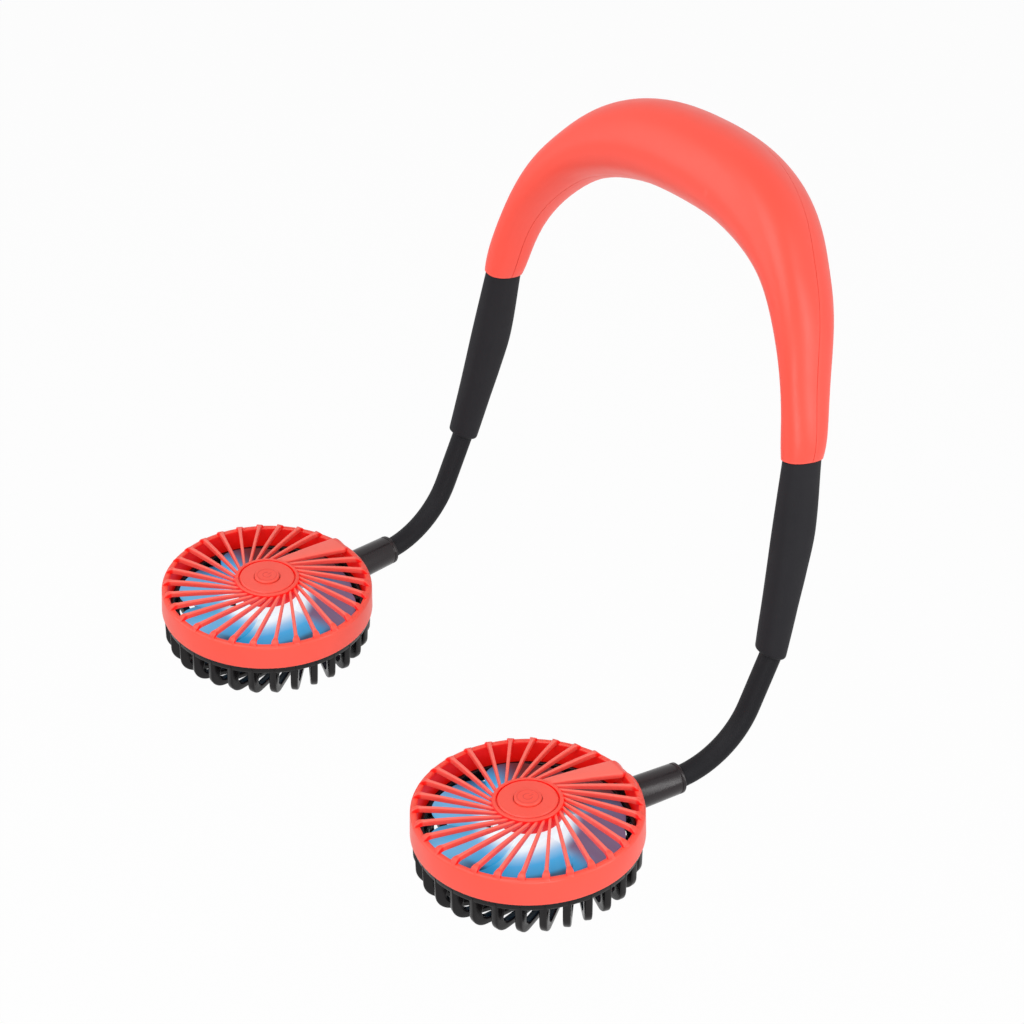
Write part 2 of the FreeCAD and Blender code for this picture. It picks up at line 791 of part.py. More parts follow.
def make_collar():
    """A tapered tube clamped in the cage wall, with the ball of the gooseneck's last joint in its mouth."""
    body = new_body("collar_body")
    sketch_drop = -d.collar_drop
    floor = d.collar_reach - d.link_gap
    lip = floor + d.collar_mouth_depth
    seat = d.boss_seat - d.collar_clearance
    corners = [
        (seat - d.collar_flange_thickness, ZERO),
        (seat - d.collar_flange_thickness, d.collar_flange_radius),
        (seat, d.collar_flange_radius),
        (seat, d.collar_root_radius),
        (d.boss_reach, d.collar_root_radius),
        (lip - d.collar_chamfer, d.collar_tip_radius),
        (lip, d.collar_tip_radius - d.collar_chamfer),
        (lip, d.collar_mouth_radius),
        (floor, d.collar_mouth_radius),
        (floor, ZERO),
    ]
    profile = draw(body, "collar_profile", "YZ_Plane", corners)
    profile.setExpression("AttachmentOffset.Base.y", sketch_drop.text)
    revolve(body, profile, "H_Axis")
    ball = doc.addObject("Part::Feature", "collar_ball")
    ball.Shape = ball_on_neck(0)
    collar = doc.addObject("Part::Fuse", "collar_left")
    collar.Base = body
    collar.Tool = ball
    return collar


def head_placement(side):
    """Where a fan head hangs: turned as it is worn, with its gooseneck ending in the sleeve's foot."""
    turn = (
        Rotation(Y_AXIS, -side * mm.head_tilt_in_angle)
        * Rotation(X_AXIS, -mm.head_tilt_back_angle)
        * Rotation(Z_AXIS, -side * mm.head_toe_out_angle)
    )
    point, along = arc_point(mm.gooseneck_bend_angle)
    mouth = point + along * mm.gooseneck_straight
    return Placement(sleeve_foot(side) - turn.multVec(mouth), turn)


def sleeve_foot(side):
    """The lower end of a sleeve, splayed outwards and leaning forwards from the band's end."""
    splay = math.tan(math.radians(mm.sleeve_splay_angle))
    lean = math.tan(math.radians(mm.sleeve_lean_angle))
    down = Vector(side * splay, -lean, -1).normalize()
    return Vector(side * mm.band_half_width, 0, 0) + down * mm.sleeve_length


def oval(half_thickness, half_depth, centre, frame):
    """A flat oval wire across a sleeve, in the section plane of a frame."""
    points = []
    for step in range(4 * SECTION_STEPS):
        angle = 2 * math.pi * step / (4 * SECTION_STEPS)
        corner = Vector(0, half_thickness * math.cos(angle), half_depth * math.sin(angle))
        points.append(centre + frame.Rotation.multVec(corner))
    curve = Part.BSplineCurve()
    curve.interpolate(points, PeriodicFlag=True)
    return Part.Wire(curve.toShape())


def make_sleeve():
    """The left sleeve: a swelling rubber boot with a spigot up into the band."""
    foot = sleeve_foot(1)
    top = station(0)
    up = top.Rotation.multVec(X_AXIS)
    deep = top.Rotation.multVec(Z_AXIS)
    head = head_placement(1)
    point, bend_end = arc_point(mm.gooseneck_bend_angle)
    outlet = head.Rotation.multVec(bend_end)
    bottom = Placement(foot, Rotation(up, outlet).multiply(top.Rotation))
    crown = top.Base - up * mm.sleeve_gap
    swell = mm.sleeve_swell_half_depth - mm.sleeve_foot_radius
    waist = mm.sleeve_foot_radius + swell * SLEEVE_WAIST_GROWTH_SHARE
    wires = []
    for share, half_thickness, half_depth, setback, frame in (
        (0, mm.sleeve_foot_radius, mm.sleeve_foot_radius, 0, bottom),
        (SLEEVE_WAIST_SHARE, mm.sleeve_foot_radius, waist, mm.sleeve_swell_setback / 2, top),
        (SLEEVE_SWELL_SHARE, mm.sleeve_swell_half_thickness, mm.sleeve_swell_half_depth,
         mm.sleeve_swell_setback, top),
        (1, mm.sleeve_top_half_thickness, mm.sleeve_top_half_depth, 0, top),
    ):
        centre = foot + (crown - foot) * share + deep * setback
        wires.append(oval(half_thickness, half_depth, centre, frame))
    boot = Part.makeLoft(wires, True, False)
    rim = min(boot.Edges, key=lambda edge: edge.BoundBox.ZMax)
    boot = boot.makeFillet(mm.sleeve_foot_round, [rim])
    inside = mm.band_wall + mm.spigot_clearance
    plug = oval(mm.band_end_half_thickness - inside, mm.band_end_half_depth - inside,
                crown - up * mm.spigot_clearance, top)
    spigot = Part.Face(plug).extrude(up * (mm.spigot_length + mm.spigot_clearance))
    bore = Part.makeCylinder(
        mm.gooseneck_radius + mm.gooseneck_clearance,
        mm.gooseneck_straight + mm.gooseneck_insert + mm.gooseneck_clearance,
        head.multVec(point), outlet)
    feature = doc.addObject("Part::Feature", "arm_sleeve_left")
    feature.Shape = boot.fuse(spigot).cut(bore).removeSplitter()
    return feature


def lean_at(height):
    """How far the band leans back at a height, along its arc seen from the side."""
    return math.asin(math.sin(math.radians(mm.band_lean_angle)) + height / mm.band_bend_radius)


def band_line():
    """One smooth line from the left sleeve's foot, along the band, to the right sleeve's foot."""
    half = [sleeve_foot(1)]
    for across_share, up_share in BAND_LINE_SHARES:
        height = up_share * mm.band_rise
        back = mm.band_bend_radius * (math.cos(lean_at(0)) - math.cos(lean_at(height)))
        half.append(Vector(across_share * mm.band_half_width, back, height))
    other_half = [Vector(-point.x, point.y, point.z) for point in reversed(half[:-1])]
    curve = Part.BSplineCurve()
    curve.interpolate(half + other_half)
    return curve


BAND_CURVE = band_line()
BAND_START = BAND_CURVE.parameter(Vector(mm.band_half_width, 0, 0))
BAND_FINISH = BAND_CURVE.parameter(Vector(-mm.band_half_width, 0, 0))


def station(place):
    """The frame of the band's section: X along the band, Y away from the neck, Z to the back."""
    parameter = BAND_START + (BAND_FINISH - BAND_START) * place
    point = BAND_CURVE.value(parameter)
    along = BAND_CURVE.tangent(parameter)[0]
    lean = lean_at(point.z)
    deep = Vector(0, math.cos(lean), -math.sin(lean))
    deep = (deep - along * along.dot(deep)).normalize()
    out = deep.cross(along)
    return Placement(Matrix(
        along.x, out.x, deep.x, point.x,
        along.y, out.y, deep.y, point.y,
        along.z, out.z, deep.z, point.z,
        0, 0, 0, 1))


def growth(shares, place):
    """A smooth reading between shares that are spread evenly from the band's end to its apex."""
    steps = len(shares) - 1
    reading = (1 - abs(2 * place - 1)) * steps
    index = min(int(reading), steps - 1)
    rest = reading - index
    before = shares[index - 1] if index else 2 * shares[0] - shares[1]
    after = shares[index + 2] if index + 2 <= steps else shares[steps - 1]
    start, stop = shares[index], shares[index + 1]
    leaving, arriving = (stop - before) / 2, (after - start) / 2
    bend = 2 * (start - stop) + leaving + arriving
    lift = 3 * (stop - start) - 2 * leaving - arriving
    return ((bend * rest + lift) * rest + leaving) * rest + start


def band_half_sizes(place):
    """Half of the band's thickness and depth at a place along it."""
    thickness = mm.band_apex_half_thickness - mm.band_end_half_thickness
    depth = mm.band_apex_half_depth - mm.band_end_half_depth
    return (
        mm.band_end_half_thickness + thickness * growth(BAND_THICKNESS_SHARES, place),
        mm.band_end_half_depth + depth * growth(BAND_DEPTH_SHARES, place),
    )


def section_points(place, inset, start, stop, steps):
    """Points of the band's rounded section from one angle to another, inset from its outer face."""
    half_thickness, half_depth = band_half_sizes(place)
    frame = station(place)
    power = 2 / BAND_SQUARENESS_SHARE
    points = []
    for step in range(steps):
        angle = start + (stop - start) * step / (steps - 1)
        across = math.copysign(abs(math.cos(angle)) ** power, math.cos(angle)) * (half_thickness - inset)
        deep = math.copysign(abs(math.sin(angle)) ** power, math.sin(angle)) * (half_depth - inset)
        points.append(frame.multVec(Vector(0, across, deep)))
    return points


def half_wire(place, inset, back):
    """One half of the band's section, closed by a straight line a little short of the seam."""
    half_depth = band_half_sizes(place)[1]
    power = BAND_SQUARENESS_SHARE / 2
    trim = math.asin((mm.seam_gap / 2 / (half_depth - inset)) ** power)
    side = 1 if back else -1
    points = section_points(place, inset, side * trim, side * (math.pi - trim), 2 * SECTION_STEPS + 1)
    outward = station(place).Rotation.multVec(Vector(0, 0, side))
    curve = Part.BSplineCurve()
    curve.interpolate(points, InitialTangent=outward, FinalTangent=-outward)
    return Part.Wire([curve.toShape(), Part.makeLine(points[-1], points[0])])


def whole_wire(place, inset):
    """The whole of the band's section as one closed curve."""
    points = section_points(place, inset, 0, 2 * math.pi, 4 * SECTION_STEPS + 1)
    curve = Part.BSplineCurve()
    curve.interpolate(points[:-1], PeriodicFlag=True)
    return Part.Wire(curve.toShape())


def loft_along_band(make_wire):
    places = [step / (BAND_STATIONS - 1) for step in range(BAND_STATIONS)]
    return Part.makeLoft([make_wire(place) for place in places], True, False)


def band_half(back):
    """One hollow half of the band, open at both ends."""
    outside = loft_along_band(lambda place: half_wire(place, 0, back))
    hollow = loft_along_band(lambda place: whole_wire(place, mm.band_wall))
    return outside.cut(hollow)


def cell_frames():
    """The frames of the two battery cells, the left one first."""
    return [station(share) for share in (CELL_PLACE_SHARE / 2, 1 - CELL_PLACE_SHARE / 2)]


def cell_solid(frame, growth):
    """A battery cell along the band, or the room that it needs."""
    half = mm.cell_length / 2 + growth
    base = Vector(-half, -mm.cell_sink, -mm.cell_forward_offset)
    cell = Part.makeCylinder(mm.cell_radius + growth, 2 * half, base, X_AXIS)
    cell.Placement = frame.multiply(cell.Placement)
    return cell


def make_front_shell():
    """The front shell of the band, with two cradle ribs for each battery cell."""
    shell = band_half(False)
    inside = loft_along_band(lambda place: half_wire(place, mm.band_wall / 2, False))
    reach = 2 * mm.band_apex_half_depth
    for frame in cell_frames():
        room = cell_solid(frame, mm.cell_clearance)
        for side in (-1, 1):
            near = side * (mm.cell_length / 2 - mm.cradle_inset) - mm.cradle_thickness / 2
            corner = Vector(near, -reach / 2, -reach - mm.cell_forward_offset)
            slab = Part.makeBox(mm.cradle_thickness, reach, reach, corner)
            slab.Placement = frame
            shell = shell.fuse(slab.common(inside).cut(room))
    feature = doc.addObject("Part::Feature", "band_front_shell")
    feature.Shape = shell
    return feature


def stadium(width, height, start, length):
    """A bar with round ends across the band's apex, running backwards."""
    radius = height / 2
    flat = width - height
    bar = Part.makeBox(flat, height, length, Vector(-flat / 2, -radius, start))
    for side in (-1, 1):
        bar = bar.fuse(Part.makeCylinder(radius, length, Vector(side * flat / 2, 0, start), Z_AXIS))
    return bar.removeSplitter()


def make_rear_shell():
    """The rear shell of the band, with the board's posts and the holes for socket and light."""
    shell = band_half(True)
    apex = station(APEX_SHARE)
    board_back = mm.board_setback + mm.board_thickness
    wall_middle = mm.band_apex_half_depth - mm.band_wall
    for side in (-1, 1):
        post = Part.makeCylinder(mm.post_radius, wall_middle - board_back,
                                 Vector(side * mm.post_spacing / 2, 0, board_back), Z_AXIS)
        post.Placement = apex
        shell = shell.fuse(post)
    mouth = stadium(mm.socket_width + 2 * mm.socket_clearance, mm.socket_height + 2 * mm.socket_clearance,
                    board_back, mm.band_apex_half_depth)
    eye = Part.makeCylinder(mm.light_radius + mm.socket_clearance, mm.band_apex_half_depth,
                            Vector(mm.light_offset, 0, board_back), Z_AXIS)
    for cutter in (mouth, eye):
        cutter.Placement = apex
        shell = shell.cut(cutter)
    feature = doc.addObject("Part::Feature", "band_rear_shell")
    feature.Shape = shell
    return feature


def make_usb_socket():
    """The charging socket: a round-ended metal shell with a tongue in its mouth."""
    board_back = mm.board_setback + mm.board_thickness
    length = mm.band_apex_half_depth - mm.socket_recess - board_back
    case = stadium(mm.socket_width, mm.socket_height, board_back, length)
    hollow = stadium(mm.socket_width - 2 * mm.socket_rim, mm.socket_height - 2 * mm.socket_rim,
                     board_back + length - mm.socket_depth, mm.socket_depth + mm.overrun)
    tongue_width = mm.socket_width - 2 * mm.socket_height / 2
    tongue = Part.makeBox(tongue_width, mm.socket_tongue, length - 2 * mm.socket_rim,
                          Vector(-tongue_width / 2, -mm.socket_tongue / 2, board_back))
    feature = doc.addObject("Part::Feature", "usb_socket")
    feature.Shape = case.cut(hollow).fuse(tongue).removeSplitter()
    return feature


def make_charge_light():
    board_back = d.board_setback + d.board_thickness
    light = doc.addObject("Part::Cylinder", "charge_light")
    light.setExpression("Radius", d.light_radius.text)
    light.setExpression("Height", (d.band_apex_half_depth + d.light_proud - board_back).text)
    return light


def make_battery(label):
    cell = doc.addObject("Part::Cylinder", label)
    cell.setExpression("Radius", d.cell_radius.text)
    cell.setExpression("Height", d.cell_length.text)
    return cell


def make_control_board():
    board = doc.addObject("Part::Box", "control_board")
    board.setExpression("Length", d.board_length.text)
    board.setExpression("Width", d.board_width.text)
    board.setExpression("Height", d.board_thickness.text)
    return board


def twin(source, label):
    """The same piece again, for the other side."""
    body = new_body(label)
    copy = doc.addObject("PartDesign::FeatureBase", f"{label}_copy")
    copy.BaseFeature = source
    body.Group = [copy]
    body.Tip = copy
    return body


def mirrored(source, label):
    """The mirror image of a piece across the wearer's middle."""
    image = doc.addObject("Part::Mirroring", label)
    image.Source = source
    image.Normal = X_AXIS
    return image


head_makers = (
    make_front_grille, make_rear_grille, make_hub_cap, make_power_button, make_switch_board,
    make_button_switch, make_hub_leds, make_motor_can, make_motor_bush, make_motor_shaft,
    make_motor_screws, make_impeller, make_collar, make_gooseneck_root,
)
head_pieces = [make() for make in head_makers]
head_pieces += [make_gooseneck_link(number) for number in range(1, int(mm.link_count) + 1)]
for piece in head_pieces:
    piece.Label = piece.Name
doc.recompute()
head_twins = [twin(piece, piece.Name.replace("_left", "_right")) for piece in head_pieces]

front_shell = make_front_shell()
rear_shell = make_rear_shell()
left_cell = make_battery("battery_left")
right_cell = make_battery("battery_right")
board = make_control_board()
socket = make_usb_socket()
light = make_charge_light()
left_sleeve = make_sleeve()
right_sleeve = mirrored(left_sleeve, "arm_sleeve_right")
doc.recompute()

placements = {}
for piece in head_pieces:
    placements[piece] = head_placement(1)
for piece in head_twins:
    placements[piece] = head_placement(-1)
apex_frame = station(APEX_SHARE)
placements[board] = apex_frame.multiply(
    Placement(Vector(-mm.board_length / 2, -mm.board_width / 2, mm.board_setback), Rotation()))
placements[socket] = apex_frame
placements[light] = apex_frame.multiply(
    Placement(Vector(mm.light_offset, 0, mm.board_setback + mm.board_thickness), Rotation()))
for cell, frame in zip((left_cell, right_cell), cell_frames()):
    foot = Vector(-mm.cell_length / 2, -mm.cell_sink, -mm.cell_forward_offset)
    placements[cell] = frame.multiply(Placement(foot, Rotation(Z_AXIS, X_AXIS)))
for piece in (front_shell, rear_shell, left_sleeve, right_sleeve):
    placements[piece] = Placement()

for item in doc.Objects:
    if "Invalid" in item.State or "Error" in item.State:
        raise RuntimeError(f"{item.Label} did not build: {item.State}")
for piece, placement in placements.items():
    piece.Placement = placement
broken = [piece.Label for piece in placements if piece.Shape.isNull() or not piece.Shape.isValid()]
if broken:
    raise RuntimeError(f"no valid shape: {broken}")

os.makedirs("parts", exist_ok=True)
for piece in placements:
    piece.Shape.exportStep(os.path.join("parts", f"{piece.Label}.step"))
    print(piece.Label, len(piece.Shape.Solids), round(piece.Shape.Volume, 1))
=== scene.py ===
"""Looks of a neck fan: a coral band, two rubber-jacketed arms and two caged, lit fan heads."""

import json
import logging
import math
from dataclasses import dataclass, field
from enum import Enum
from functools import cache
from typing import Callable, Iterable, Sequence

import bmesh
import bpy
from mathutils import Matrix, Vector


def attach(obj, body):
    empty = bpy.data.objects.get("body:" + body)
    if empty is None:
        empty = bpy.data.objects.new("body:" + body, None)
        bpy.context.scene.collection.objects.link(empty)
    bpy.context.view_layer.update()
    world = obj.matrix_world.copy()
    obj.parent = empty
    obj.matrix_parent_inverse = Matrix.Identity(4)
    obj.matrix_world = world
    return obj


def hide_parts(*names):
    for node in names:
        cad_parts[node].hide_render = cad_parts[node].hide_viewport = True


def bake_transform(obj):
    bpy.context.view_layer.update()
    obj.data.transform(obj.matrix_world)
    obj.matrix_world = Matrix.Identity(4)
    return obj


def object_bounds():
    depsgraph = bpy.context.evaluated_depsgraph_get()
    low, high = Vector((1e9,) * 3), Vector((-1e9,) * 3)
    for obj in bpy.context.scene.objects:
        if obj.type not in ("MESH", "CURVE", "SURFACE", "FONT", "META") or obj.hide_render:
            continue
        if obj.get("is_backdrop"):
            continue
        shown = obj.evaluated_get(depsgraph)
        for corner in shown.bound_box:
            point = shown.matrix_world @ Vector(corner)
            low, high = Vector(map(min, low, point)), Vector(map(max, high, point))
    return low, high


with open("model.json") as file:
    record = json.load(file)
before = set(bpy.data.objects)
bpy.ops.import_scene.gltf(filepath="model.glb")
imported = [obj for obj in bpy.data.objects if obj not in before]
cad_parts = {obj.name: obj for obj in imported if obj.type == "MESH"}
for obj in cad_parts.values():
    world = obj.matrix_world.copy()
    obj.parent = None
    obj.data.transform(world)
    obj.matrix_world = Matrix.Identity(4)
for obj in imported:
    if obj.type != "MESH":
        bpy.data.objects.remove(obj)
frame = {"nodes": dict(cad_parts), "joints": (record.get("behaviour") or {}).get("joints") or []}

LOG = logging.getLogger("neck_fan")
MM = 0.001
WHOLE_TURN = 360.0
SAME_PLACE = 1e-7
SAME_STOP = 1e-6
ON_AXIS = 1e-9
MOST_OF_SIDE = 0.49
ARC_STEPS = 4
PLATE_EDGE_STEPS = 2

Colour = tuple[float, float, float]
Point2 = tuple[float, float]
Point3 = tuple[float, float, float]
Rounds = tuple[float, ...]
Ring = list[Vector]
Mesh = bmesh.types.BMesh
Socket = bpy.types.NodeSocket
Sockets = bpy.types.NodeInputs
Feed = Socket | float | Colour | Point3

BLACK: Colour = (0.0, 0.0, 0.0)
ACROSS_AXIS: Point3 = (1.0, 1.0, 0.0)


class Side(Enum):
    """The wearer's side that a fan head and its arm are on."""

    LEFT = "left"
    RIGHT = "right"

    @property
    def sign(self) -> int:
        """+1 towards +X, -1 towards -X."""
        return 1 if self is Side.LEFT else -1


class Shading(Enum):
    """How far two faces may turn from each other and still be shaded as one surface, in degrees."""

    ROUND = 60.0
    MOULDED = 38.0


class Ease(Enum):
    """How a reading goes from one end to the other."""

    STRAIGHT = "LINEAR"
    SOFT = "SMOOTHSTEP"


# Shader building


@dataclass
class Wiring:
    """Adds nodes to a shader tree. They are fed with sockets, or with fixed numbers, colours or vectors."""

    tree: bpy.types.NodeTree

    def node(self, kind: str, **settings: object) -> bpy.types.Node:
        """A new node.

        Args:
            kind: Its type, without the prefix of all shader nodes.
            **settings: Its settings, by their names.

        Returns:
            The node.
        """
        made = self.tree.nodes.new(f"ShaderNode{kind}")
        for label, value in settings.items():
            setattr(made, label, value)
        return made

    def feed(self, target: Socket, value: Feed) -> None:
        """Leads a socket to an input, or sets the input to a fixed value.

        Args:
            target: The input.
            value: What goes into it.
        """
        if isinstance(value, Socket):
            self.tree.links.new(value, target)
        elif target.type == "RGBA":
            target.default_value = (*value, 1.0)
        else:
            target.default_value = value

    def fill(self, made: bpy.types.Node, **values: Feed) -> bpy.types.Node:
        """Feeds a node's inputs.

        Args:
            made: The node.
            **values: What goes into its inputs, by their names.

        Returns:
            The same node.
        """
        for label, value in values.items():
            self.feed(made.inputs[label], value)
        return made

    def operate(self, kind: str, operation: str, values: Iterable[Feed]) -> bpy.types.NodeOutputs:
        """An operation on numbers or vectors.

        Args:
            kind: Type of its node.
            operation: The operation.
            values: What it works on, in order.

        Returns:
            The node's outputs.
        """
        made = self.node(kind, operation=operation)
        for target, value in zip(made.inputs, values):
            self.feed(target, value)
        return made.outputs

    def number(self, operation: str, *values: Feed) -> Socket:
        """The result of an operation on numbers."""
        return self.operate("Math", operation, values)["Value"]

    def vector(self, operation: str, *values: Feed) -> Socket:
        """The vector that an operation on vectors gives."""
        return self.operate("VectorMath", operation, values)["Vector"]

    def measure(self, operation: str, *values: Feed) -> Socket:
        """The number that an operation on vectors gives."""
        return self.operate("VectorMath", operation, values)["Value"]

    def height(self, place: Socket) -> Socket:
        """The Z of a vector."""
        return self.fill(self.node("SeparateXYZ"), Vector=place).outputs["Z"]

    def between(self, value: Socket, ends: Point2, ease: Ease = Ease.STRAIGHT, low: float = 0.0) -> Socket:
        """A reading of where a value lies between two ends.

        Args:
            value: The value.
            ends: Where the reading is low and where it is 1.
            ease: How it goes from one to the other.
            low: The reading at the first end.

        Returns:
            The socket that carries the reading.
        """
        made = self.node("MapRange", interpolation_type=ease.value)
        made.inputs["From Min"].default_value, made.inputs["From Max"].default_value = ends
        made.inputs["To Min"].default_value = low
        return self.fill(made, Value=value).outputs["Result"]

    def blend(self, share: Feed, first: Feed, second: Feed) -> Socket:
        """A mix of two colours, all of the second where the share is 1."""
        made = self.node("Mix", data_type="RGBA")
        return self.fill(made, Factor=share, A=first, B=second).outputs["Result"]

    def noise(self, place: Socket, scale: Feed, detail: float) -> Socket:
        """Soft noise at a place."""
        made = self.fill(self.node("TexNoise"), Vector=place, Scale=scale, Detail=detail)
        return made.outputs["Fac"]

    def group(self, tree: bpy.types.NodeTree, **values: Feed) -> bpy.types.NodeOutputs:
        """The outputs of a shared group, placed here with its own values."""
        return self.fill(self.node("Group", node_tree=tree), **values).outputs

    def texture(self, skin: Sockets, height: float, **grain: float) -> None:
        """Gives a surface its grain.

        Args:
            skin: The inputs of the surface's shader.
            height: Height of the grain in metres.
            **grain: Values of the grain group, by the names of its inputs.
        """
        shape = self.group(NodeGroups.grain(), **grain)
        bump = self.fill(self.node("Bump"), Distance=height, Height=shape["Height"])
        self.feed(skin["Roughness"], shape["Roughness"])
        self.feed(skin["Normal"], bump.outputs["Normal"])


class NodeGroups:
    """Shader groups that more than one finish uses, each built once."""

    NUMBER = "NodeSocketFloat"
    PAINT = "NodeSocketColor"
    FINE_DETAIL = 3.0
    WIDE_DETAIL = 2.0
    WIDE_SCALE_SHARE = 0.06
    NOISE_MIDDLE = 0.5
    DRIFT_DETAIL = 4.0
    SHARP_EDGE: Point2 = (0.54, 0.68)

    @staticmethod
    def start(name: str, inputs: dict[str, str], outputs: dict[str, str]) -> Wiring:
        """Makes an empty group with named sockets.

        Args:
            name: Name of the group.
            inputs: Socket type of each input, by its name.
            outputs: Socket type of each output, by its name.

        Returns:
            The group's wiring, with the input and output nodes named "in" and "out".
        """
        tree = bpy.data.node_groups.new(name, "ShaderNodeTree")
        for way, sockets in (("INPUT", inputs), ("OUTPUT", outputs)):
            for label, kind in sockets.items():
                tree.interface.new_socket(name=label, in_out=way, socket_type=kind)
        tree.nodes.new("NodeGroupInput").name = "in"
        tree.nodes.new("NodeGroupOutput").name = "out"
        return Wiring(tree)

    @classmethod
    @cache
    def grain(cls) -> bpy.types.NodeTree:
        """The fine texture of a moulding: a height for its bump and a roughness that wanders.

        Returns:
            The group's node tree.
        """
        wiring = cls.start(
            "moulded grain",
            {"Scale": cls.NUMBER, "Roughness": cls.NUMBER, "Spread": cls.NUMBER},
            {"Roughness": cls.NUMBER, "Height": cls.NUMBER},
        )
        given = wiring.tree.nodes["in"].outputs
        place = wiring.node("TexCoord").outputs["Object"]
        fine = wiring.noise(place, given["Scale"], cls.FINE_DETAIL)
        wide_scale = wiring.number("MULTIPLY", given["Scale"], cls.WIDE_SCALE_SHARE)
        wide = wiring.noise(place, wide_scale, cls.WIDE_DETAIL)
        swing = wiring.number("SUBTRACT", wide, cls.NOISE_MIDDLE)
        roughness = wiring.number("MULTIPLY_ADD", swing, given["Spread"], given["Roughness"])
        wiring.fill(wiring.tree.nodes["out"], Roughness=roughness, Height=fine)
        return wiring.tree

    @classmethod
    @cache
    def cloud(cls) -> bpy.types.NodeTree:
        """Slow drift between two near shades of one colour.

        Returns:
            The group's node tree.
        """
        inputs = {"Scale": cls.NUMBER, "Light": cls.PAINT, "Dark": cls.PAINT}
        wiring = cls.start("colour drift", inputs, {"Colour": cls.PAINT})
        given = wiring.tree.nodes["in"].outputs
        place = wiring.node("TexCoord").outputs["Object"]
        drift = wiring.noise(place, given["Scale"], cls.DRIFT_DETAIL)
        wiring.fill(wiring.tree.nodes["out"], Colour=wiring.blend(drift, given["Dark"], given["Light"]))
        return wiring.tree

    @classmethod
    @cache
    def edge_highlight(cls) -> bpy.types.NodeTree:
        """Painted highlight: a paler tone where an edge stands proud.

        Returns:
            The group's node tree.
        """
        inputs = {"Colour": cls.PAINT, "Edge": cls.PAINT, "Reach": cls.NUMBER}
        wiring = cls.start("painted edge highlights", inputs, {"Colour": cls.PAINT})
        given = wiring.tree.nodes["in"].outputs
        form = wiring.node("NewGeometry").outputs["Pointiness"]
        share = wiring.number("MULTIPLY", wiring.between(form, cls.SHARP_EDGE), given["Reach"])
        wiring.fill(wiring.tree.nodes["out"], Colour=wiring.blend(share, given["Colour"], given["Edge"]))
        return wiring.tree


def surface(name: str) -> tuple[bpy.types.Material, Wiring, Sockets]:
    """A new material.

    Args:
        name: Its name.

    Returns:
        The material, its wiring and the inputs of its shader.
    """
    made = bpy.data.materials.new(name)
    made.use_nodes = True
    return made, Wiring(made.node_tree), made.node_tree.nodes["Principled BSDF"].inputs


# Finishes


@dataclass(frozen=True)
class Finish:
    """A moulded or turned surface with grain, drifting colour and a painted highlight on proud edges.

    Colours are linear. Scales are per metre, and grain_height is in metres.
    """

    name: str
    light: Colour
    dark: Colour
    # edge is the colour of the painted highlight on proud edges.
    edge: Colour
    roughness: float = 0.45
    spread: float = 0.12
    grain_scale: float = 2600.0
    grain_height: float = 0.00002
    drift_scale: float = 45.0
    edge_highlight_reach: float = 0.35
    metallic: float = 0.0
    specular: float = 0.5
    coat: float = 0.0

    @cache
    def material(self) -> bpy.types.Material:
        """The finish as a material, made once.

        Returns:
            The Blender material.
        """
        made, wiring, skin = surface(self.name)
        skin["Metallic"].default_value = self.metallic
        skin["Specular IOR Level"].default_value = self.specular
        skin["Coat Weight"].default_value = self.coat
        wiring.texture(
            skin, self.grain_height, Scale=self.grain_scale, Roughness=self.roughness, Spread=self.spread
        )
        drift = wiring.group(NodeGroups.cloud(), Scale=self.drift_scale, Light=self.light, Dark=self.dark)
        edge_highlight = wiring.group(
            NodeGroups.edge_highlight(), Colour=drift["Colour"], Edge=self.edge, Reach=self.edge_highlight_reach
        )
        self.lead(wiring, skin, edge_highlight["Colour"])
        return made

    def lead(self, wiring: Wiring, skin: Sockets, colour: Socket) -> None:
        """Leads the colour to the surface."""
        wiring.feed(skin["Base Color"], colour)


@dataclass(frozen=True)
class PaintedLightMoulding(Finish):
    """A moulding with a painted highlight on its spokes, and painted shade and a painted glow on upright
    inner faces.

    Colours are linear. Lengths are metres from the axis of the piece's own frame.
    """

    # pale is the painted highlight on the spokes; deep is the painted shade and lit the painted glow on
    # upright inner faces.
    pale: Colour = (1.0, 0.160, 0.120)
    deep: Colour = (0.84, 0.010, 0.006)
    lit: Colour = (0.23, 0.001, 0.0005)
    glow: float = 1.0
    upright: Point2 = (0.75, 0.35)
    reach: Point2 = (34.75 * MM, 34.35 * MM)
    spoke_middle: float = 21.8 * MM
    spoke_half: Point2 = (10.2 * MM, 11.0 * MM)
    spoke_share: float = 0.35

    def lead(self, wiring: Wiring, skin: Sockets, colour: Socket) -> None:
        """Leads the colour to the surface: painted highlight on the spokes, painted shade and glow on
        upright inner faces.

        Args:
            wiring: The material's wiring.
            skin: The inputs of its shader.
            colour: The socket that carries the colour.
        """
        place = wiring.node("TexCoord").outputs
        flat = wiring.vector("MULTIPLY", place["Object"], ACROSS_AXIS)
        out = wiring.measure("LENGTH", flat)
        steep = wiring.number("ABSOLUTE", wiring.height(place["Normal"]))
        inner = wiring.number(
            "MULTIPLY", wiring.between(steep, self.upright), wiring.between(out, self.reach)
        )
        apart = wiring.number("ABSOLUTE", wiring.number("SUBTRACT", out, self.spoke_middle))
        clear = wiring.between(apart, self.spoke_half, low=self.spoke_share)
        # Painted shade and painted glow on upright inner faces, at a smaller share on the spokes' sides.
        painted_shade_share = wiring.number("MULTIPLY", inner, clear)
        # Painted highlight across the spokes.
        spoke_highlight_share = wiring.between(apart, self.spoke_half[::-1])
        paler = wiring.blend(spoke_highlight_share, colour, self.pale)
        wiring.feed(skin["Base Color"], wiring.blend(painted_shade_share, paler, self.deep))
        wiring.feed(skin["Emission Color"], wiring.blend(painted_shade_share, BLACK, self.lit))
        skin["Emission Strength"].default_value = self.glow


